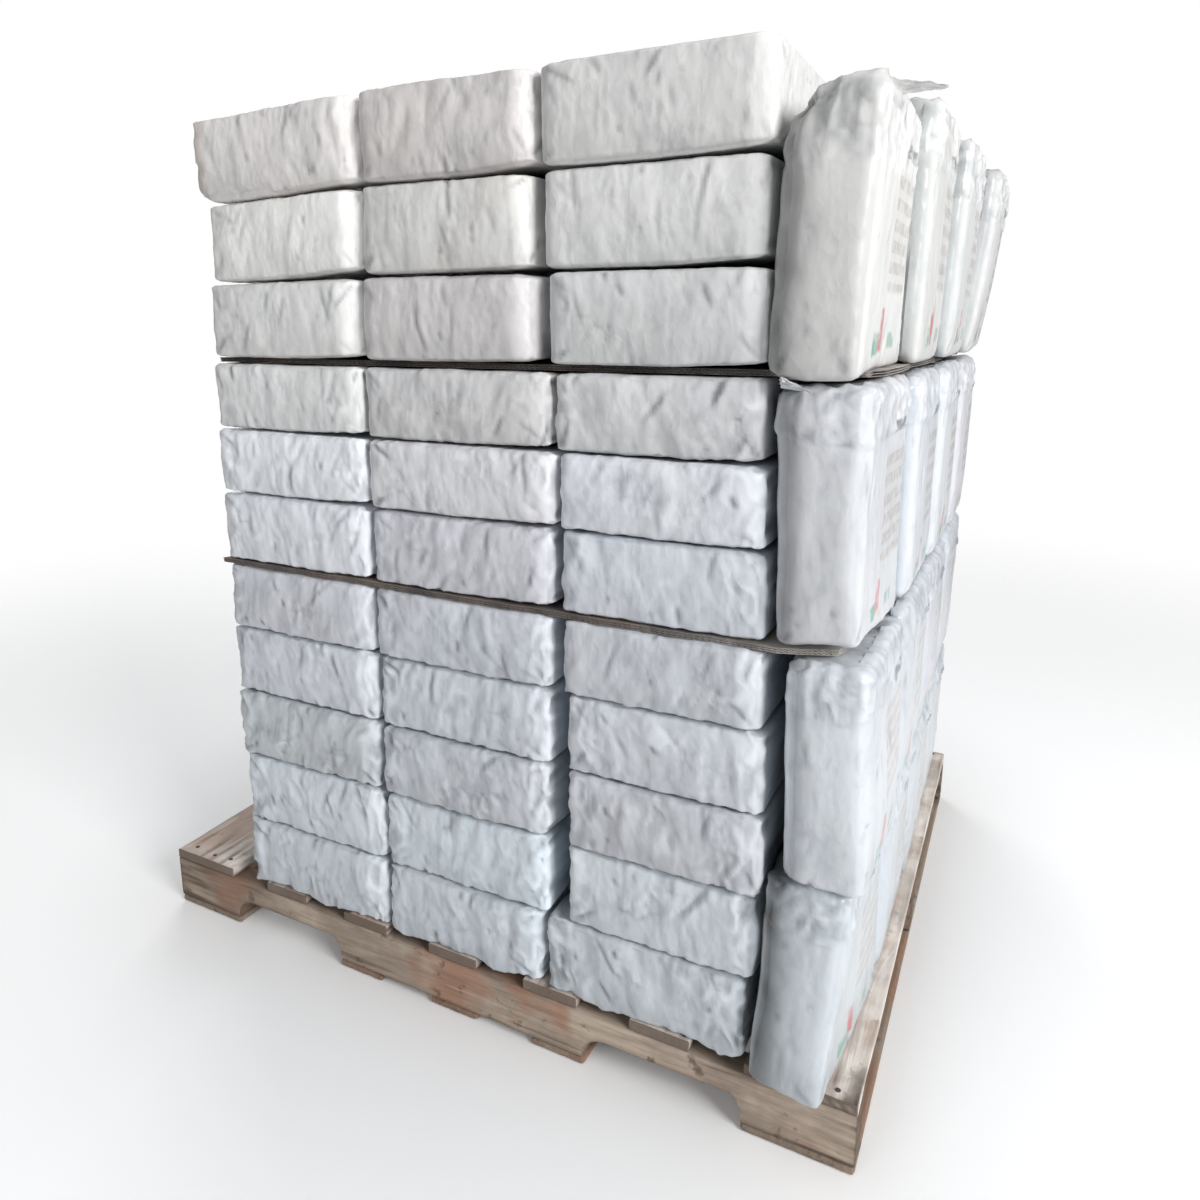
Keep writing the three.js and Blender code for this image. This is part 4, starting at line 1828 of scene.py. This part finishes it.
@dataclass
class Pallet:
    """The wooden pallet: three notched stringers, deck boards, bottom boards and nails.

    Attributes:
        deck_finish, stringer_finish, bottom_finish, nail_finish: the finishes of its parts.
        notch_length, notch_from_end, notch_height: the size and place of a stringer's notches.
        notch_radii: how far the arcs at a notch's two ends reach into it.
        foot_bend: how far they reach into the feet.
        edge, foot_edge: how far the edges of the deck and of the bottom boards are rounded.
        end_dirt: how dark the ends of the grain are.
        deck_end_shade_and_dirt, foot_end_dirt: the same for the deck boards and the bottom boards; on the
            deck boards' ends this is partly painted shade under the bales' overhang.
        covered_shade_and_dirt: how dark the right deck board is beside the load, a painted shade with some
            dirt.
        deck_reach: how much further in the right deck board reaches.
        foot_reach: how much further in the outer bottom boards reach.
        bottom_dirt: how dirty the bottom boards are all over.
        left_dirt: how dirty the stringers are at the left end.
        lower_edge_shade, top_shade_and_dirt: how dark the stringers are along their lower edges, a painted
            shade, and on their tops, a painted shade with dirt.
        nail_radius: the radius of a nail's head.
        stringers: the stringers' nodes.
    """

    deck_finish: WoodFinish
    stringer_finish: WoodFinish
    bottom_finish: WoodFinish
    nail_finish: NailFinish
    notch_length: float = 228.6 * MM
    notch_from_end: float = 152.4 * MM
    notch_height: float = 38 * MM
    notch_radii: tuple[float, float] = (34 * MM, 13 * MM)
    foot_bend: float = 4 * MM
    edge: float = 2.2 * MM
    foot_edge: float = 5.5 * MM
    end_dirt: float = 0.8
    deck_end_shade_and_dirt: float = 0.95
    foot_end_dirt: float = 0.35
    covered_shade_and_dirt: float = 1.0
    deck_reach: float = 7 * MM
    foot_reach: float = 9 * MM
    bottom_dirt: float = 0.08
    left_dirt: float = 0.42
    lower_edge_shade: float = 0.35
    top_shade_and_dirt: float = 0.6
    nail_radius: float = 3.6 * MM
    stringers: tuple[str, ...] = ("stringer_front", "stringer_middle", "stringer_back")

    def wear_down(self, flat: Array, size: Array, seed: int, along: int, edge: float) -> tuple[Array, Array]:
        """Rounds a board's edges and wears them with chips and splits.

        Args:
            flat: places on the plain board, from 0 to size.
            size: its three lengths.
            seed: the board's own number.
            along: the axis of its grain.
            edge: how far its edges are rounded.

        Returns:
            The worn points and how dark and dirty each is.
        """
        points, facing = round_off(flat, size, np.full(3, edge))
        stretch = np.full(3, 1 / 0.012)
        stretch[along] = 1 / 0.055
        rough = Ripple(seed).at(flat * stretch)
        broad = Ripple(seed + 1).at(flat * stretch * 0.35)
        edges = np.sort(np.minimum(flat, size - flat), axis=1)[:, 1]
        near_edge = 1 - ease(0.0, 7 * MM, edges)
        chip = ease(0.25, 0.8, Ripple(seed + 2).at(flat * stretch * 0.6)) * near_edge
        to_end = np.minimum(flat[:, along], size[along] - flat[:, along])
        cross = np.delete(flat, along, axis=1)
        split_place = np.stack([cross[:, 0] / 0.010, cross[:, 1] / 0.03, flat[:, along] / 0.4], axis=1)
        split = 1 - np.clip(np.abs(Ripple(seed + 3).at(split_place)) * 7, 0, 1)
        split = split * (1 - ease(0.03, 0.11, to_end))
        on_end = np.abs(facing[:, along])
        rise = rough * 0.25 * MM + broad * 0.6 * MM - chip * 2.6 * MM - split * 1.6 * MM
        rise *= 1 - 0.75 * on_end
        wear_and_shade = np.clip(near_edge * 0.25 + chip * 0.5 + split * 0.9 + on_end * self.end_dirt, 0, 1)
        return points + facing * rise[:, None], wear_and_shade

    def add_piece(
        self, name: str, material: Material, slot: str, seed: int, points: Array, faces: Faces, wear_and_shade: Array
    ) -> None:
        """Makes a worn board's or stringer's piece in place of its plain solid.

        Args:
            name: the solid's node.
            material: its finish.
            slot: passed on to settle, which does not use it.
            seed: its own number, which shifts its grain.
            points, faces: its mesh, in the frame.
            wear_and_shade: how dark each point is from dirt and wear, and from painted shade.
        """
        shift = np.tile(np.random.default_rng(seed).uniform(-3, 3, 3), (len(points), 1))
        parts = MeshParts()
        parts.add(points, faces, wear_and_shade=np.clip(wear_and_shade, 0, 1), shift=shift)
        settle(parts.piece(f"{name}_worn", material), slot, name)

    def board(self, name: str, material: Material, slot: str, seed: int, dirt_and_painted_light: float) -> None:
        """Makes a deck or bottom board.

        Args:
            name: its node.
            material: its finish.
            slot: passed on to add_piece, but not used.
            seed: its own number.
            dirt_and_painted_light: how dirty it is all over.
        """
        low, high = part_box(name)
        if name == "bottom_board_1":
            high.x += self.foot_reach
        if name == "bottom_board_5":
            low.x -= self.foot_reach
        if name == "top_board_7":
            low.x -= self.deck_reach
        size = np.array(high - low)
        deck = name.startswith("top")
        edge = self.edge if deck else self.foot_edge
        steps = (8 * MM, 14 * MM, 6 * MM)
        flat, faces = BlockGrid(tuple(spaced(size[i], steps[i], edge) for i in range(3))).build()
        points, wear_and_shade = self.wear_down(flat, size, seed, 1, edge)
        if name == "top_board_7":
            # Painted shade, with some dirt, on the right deck board beside the load.
            wear_and_shade += self.covered_shade_and_dirt * (1 - ease(15 * MM, 45 * MM, flat[:, 0]))
        else:
            on_end = np.minimum(flat[:, 1], size[1] - flat[:, 1]) < edge
            # The deck boards' ends are darkened with dirt and with painted shade under the bales' overhang.
            wear_and_shade = np.where(on_end, self.deck_end_shade_and_dirt if deck else self.foot_end_dirt, wear_and_shade)
        self.add_piece(name, material, slot, seed, points + np.array(low), faces, wear_and_shade + dirt_and_painted_light)

    def notch_starts(self) -> tuple[float, float]:
        """Where the two notches begin, from the stringer's left end."""
        return self.notch_from_end, PALLET_LENGTH - self.notch_from_end - self.notch_length

    def underside(self, x: Array) -> Array:
        """The height of a stringer's underside above its feet.

        Args:
            x: places from its end.

        Returns:
            The height at each.
        """
        height = np.zeros_like(x)
        for start in self.notch_starts():
            level = np.ones_like(x)
            for into, radius in zip((x - start, start + self.notch_length - x), self.notch_radii):
                run = np.clip((into + self.foot_bend) / (self.foot_bend + radius), 0, 1)
                level = np.minimum(level, np.sqrt(1 - (1 - run) ** 2))
            height += self.notch_height * level
        return height

    def stringer(self, name: str, material: Material, seed: int) -> None:
        """Makes a stringer.

        Args:
            name: its node.
            material: its finish.
            seed: its own number, for the wear.
        """
        low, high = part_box(name)
        size = np.array(high - low)
        along = [spaced(size[0], 8 * MM, self.edge, 2)]
        turn = 1 - np.cos(np.linspace(0, math.pi / 2, 12))
        for start in self.notch_starts():
            left, right = (turn * (self.foot_bend + radius) - self.foot_bend for radius in self.notch_radii)
            along.extend([start + left, start + self.notch_length - right])
        across = np.unique(np.round(np.concatenate(along), 5))
        deep, upward = spaced(size[1], 8 * MM, self.edge, 2), spaced(size[2], 5 * MM, self.edge, 2)
        flat, faces = BlockGrid((across, deep, upward)).build()
        points, wear_and_shade = self.wear_down(flat, size, seed, 0, self.edge)
        floor = self.underside(flat[:, 0])
        points[:, 2] = floor + points[:, 2] * (size[2] - floor) / size[2]
        inside = np.minimum(flat[:, 1], size[1] - flat[:, 1])
        # Painted shade along the edges of the underside.
        wear_and_shade += self.lower_edge_shade * (1 - ease(0.0, 9 * MM, points[:, 2] - floor))
        # Painted shade, with dirt, on the top where the deck boards and the load cover it.
        wear_and_shade += self.top_shade_and_dirt * ease(-1 * MM, 0.0, flat[:, 2] - size[2]) * ease(2 * MM, 6 * MM, inside)
        wear_and_shade += self.left_dirt * (1 - ease(0.0, 0.40, flat[:, 0]))
        self.add_piece(name, material, "pallet_wood", seed, points + np.array(low), faces, wear_and_shade)

    def nail(self, x: float, y: float, top: float, seed: int) -> tuple[Array, Faces]:
        """A nail's domed head, a little askew, on a board's top.

        Args:
            x, y, top: its place in the frame.
            seed: its own number.

        Returns:
            Its points and faces.
        """
        sides = 12
        rings = ((1.0, -1.2 * MM), (1.0, 0.25 * MM), (0.72, 0.7 * MM), (0.3, 0.9 * MM))
        turns = np.arange(sides) * 2 * math.pi / sides
        tilt = np.random.default_rng(seed).uniform(-0.12, 0.12, 2)
        points = []
        for share, height in rings:
            flat = np.stack([np.cos(turns), np.sin(turns)], axis=1) * (self.nail_radius * share)
            points.append(np.column_stack([flat + [x, y], top + (height + flat @ tilt)]))
        bands = len(rings) - 1
        faces = [list(range(sides))[::-1], [bands * sides + i for i in range(sides)]]
        for ring in range(bands):
            for i in range(sides):
                a, b = ring * sides + i, ring * sides + (i + 1) % sides
                faces.append([a, b, b + sides, a + sides])
        return np.concatenate(points), faces

    def nails(self) -> None:
        """Makes the nails that hold the deck boards, two or three to each crossing."""
        parts = MeshParts()
        for board in range(1, 8):
            low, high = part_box(f"top_board_{board}")
            count = 3 if board in (1, 7) else 2
            for line, stringer in enumerate(self.stringers):
                beam_low, beam_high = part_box(stringer)
                for i in range(count):
                    seed = board * 100 + line * 10 + i
                    dice = np.random.default_rng(seed)
                    x = low.x + (high.x - low.x) * (0.16 + 0.68 * i / (count - 1)) + dice.uniform(-7, 7) * MM
                    y = (beam_low.y + beam_high.y) / 2 + dice.uniform(-8, 8) * MM
                    parts.add(*self.nail(x, y, high.z, seed))
        settle(parts.piece("deck_nails", self.nail_finish.paint()), "nail_steel")

    def build(self) -> None:
        """Makes the stringers, the boards and the nails."""
        stringer_wood = self.stringer_finish.paint()
        deck_wood = self.deck_finish.paint()
        bottom_wood = self.bottom_finish.paint()
        for i, name in enumerate(self.stringers):
            self.stringer(name, stringer_wood, 300 + i * 7)
        for i in range(7):
            self.board(f"top_board_{i + 1}", deck_wood, "pallet_wood", 400 + i * 7, 0.0)
        for i in range(5):
            slot = "pallet_wood_dark"
            self.board(f"bottom_board_{i + 1}", bottom_wood, slot, 500 + i * 7, self.bottom_dirt)
        self.nails()


@dataclass(frozen=True)
class SoftLamp:
    """A square lamp that faces the load."""

    name: str
    place: Triple
    size: float
    power: float
    aim: Triple = (0.0, 0.0, 0.65)

    def hang(self) -> None:
        """Adds the lamp to the scene."""
        light = bpy.data.lights.new(self.name, "AREA")
        light.shape = "SQUARE"
        light.size = self.size
        light.energy = self.power
        lamp = place_in_scene(self.name, light)
        lamp.location = self.place
        lamp.rotation_euler = (Vector(self.aim) - Vector(self.place)).to_track_quat("-Z", "Y").to_euler()


@dataclass
class Studio:
    """The camera at the photograph's angle, soft lamps, a pale floor and a white surround.

    Attributes:
        camera_place: where the camera stands.
        camera_tilt, camera_turn: how it is turned, in degrees.
        lens, rise: its focal length in millimetres, and its shift.
        ambient, ambient_colour: the even light from all round.
        surround: the radius of the white surround.
        lamps: the lamps.
    """

    camera_place: Triple = (0.7338, -1.4688, 1.0490)
    camera_tilt: float = 78.7
    camera_turn: float = 26.5
    lens: float = 26.44
    rise: float = -0.0833
    ambient: float = 0.27
    ambient_colour: Triple = (0.95, 0.975, 1.0)
    surround: float = 14.0
    lamps: tuple[SoftLamp, ...] = (
        SoftLamp("key_lamp", (3.9, -1.85, 2.5), 1.7, 165, (0.2, 0.0, 0.9)),
        SoftLamp("front_lamp", (-1.2, -4.9, 2.4), 3.0, 40),
        SoftLamp("top_lamp", (0.2, 0.3, 4.4), 3.5, 30),
        SoftLamp("back_lamp", (-3.2, 3.6, 2.4), 3.0, 95),
    )

    def set_camera(self) -> None:
        """Adds the camera."""
        data = bpy.data.cameras.new("photo_camera")
        data.sensor_width = 36
        data.lens = self.lens
        data.shift_y = self.rise
        camera = place_in_scene("photo_camera", data)
        camera.location = self.camera_place
        camera.rotation_euler = (math.radians(self.camera_tilt), 0, math.radians(self.camera_turn))
        bpy.context.scene.camera = camera

    def set_world(self) -> None:
        """Adds even light from all round."""
        world = bpy.data.worlds.new("even_light")
        world.use_nodes = True
        background = world.node_tree.nodes["Background"]
        background.inputs["Color"].default_value = (*self.ambient_colour, 1)
        background.inputs["Strength"].default_value = self.ambient
        bpy.context.scene.world = world

    def set_surround(self) -> None:
        """Adds the white surround, which only the camera sees."""
        bpy.ops.mesh.primitive_uv_sphere_add(segments=48, ring_count=24, radius=self.surround)
        dome = bpy.context.object
        dome.name = "white_surround"
        graph = Graph("surround_white")
        glow = graph.node("ShaderNodeEmission", {}, {"Color": (1.0, 1.0, 1.0), "Strength": 1.0})
        dome.data.materials.append(graph.finish(glow))
        for ray in ("diffuse", "glossy", "transmission", "volume_scatter", "shadow"):
            setattr(dome, f"visible_{ray}", False)

    def set_floor(self) -> None:
        """Adds the floor."""
        bpy.ops.mesh.primitive_plane_add(size=self.surround * 1.9)
        floor = bpy.context.object
        floor.name = "studio_floor"
        floor.data.materials.append(FloorFinish("floor_white", (0.88, 0.88, 0.88)).paint())

    def build(self) -> None:
        """Adds all of it."""
        bpy.context.scene.view_settings.view_transform = "Standard"
        self.set_camera()
        self.set_world()
        self.set_surround()
        self.set_floor()
        for lamp in self.lamps:
            lamp.hang()


def write_sizes() -> None:
    """Updates the view layer."""
    bpy.context.view_layer.update()


def main() -> None:
    """Builds the studio and the object, part by part."""
    Studio().build()
    pine = dict(grey=(0.62, 0.55, 0.49), dark=(0.12, 0.085, 0.062), red=(0.55, 0.39, 0.31))
    beam = dict(grey=(0.345, 0.275, 0.22), dark=(0.10, 0.07, 0.05), red=(0.38, 0.215, 0.145))
    along_x, along_y = (0.09, 1.0, 1.0), (1.0, 0.09, 1.0)
    Pallet(
        WoodFinish("deck_pine", (0.94, 0.86, 0.79), grain=along_y, blotched=0.35, lined=0.55, **pine),
        WoodFinish("stringer_pine", (0.52, 0.425, 0.34), grain=along_x, stained=0.9, blotched=0.75, **beam),
        WoodFinish("bottom_pine", (0.45, 0.36, 0.28), grain=along_y, **beam),
        NailFinish("nail_steel", (0.11, 0.10, 0.10), (0.14, 0.06, 0.035)),
    ).build()
    board = CardboardFinish("grey_board", (0.25, 0.20, 0.17), (0.13, 0.12, 0.115), (0.50, 0.465, 0.435))
    board_material = board.paint()
    CardboardSheet("cardboard_sheet_low", 0, 2 * MM, board_material).build()
    CardboardSheet("cardboard_sheet_high", 1, 12 * MM, board_material).build()
    LyingStack(
        FilmFinish(
            "bale_film",
            white=(0.70, 0.70, 0.70),
            shade=(0.36, 0.365, 0.375),
            cast=(1.0, 0.955, 0.92),
            roughness=(0.42, 0.16),
            coat=0.25,
            wrinkle=1.2 * MM,
        )
    ).build()
    StandingColumn(
        FilmFinish(
            "standing_film",
            white=(0.69, 0.69, 0.685),
            shade=(0.40, 0.405, 0.415),
            cast=(0.98, 0.985, 1.0),
            roughness=(0.36, 0.14),
            coat=0.3,
            wrinkle=1.0 * MM,
            printed=True,
        )
    ).build()
    write_sizes()


if __name__ == "__main__":
    main()
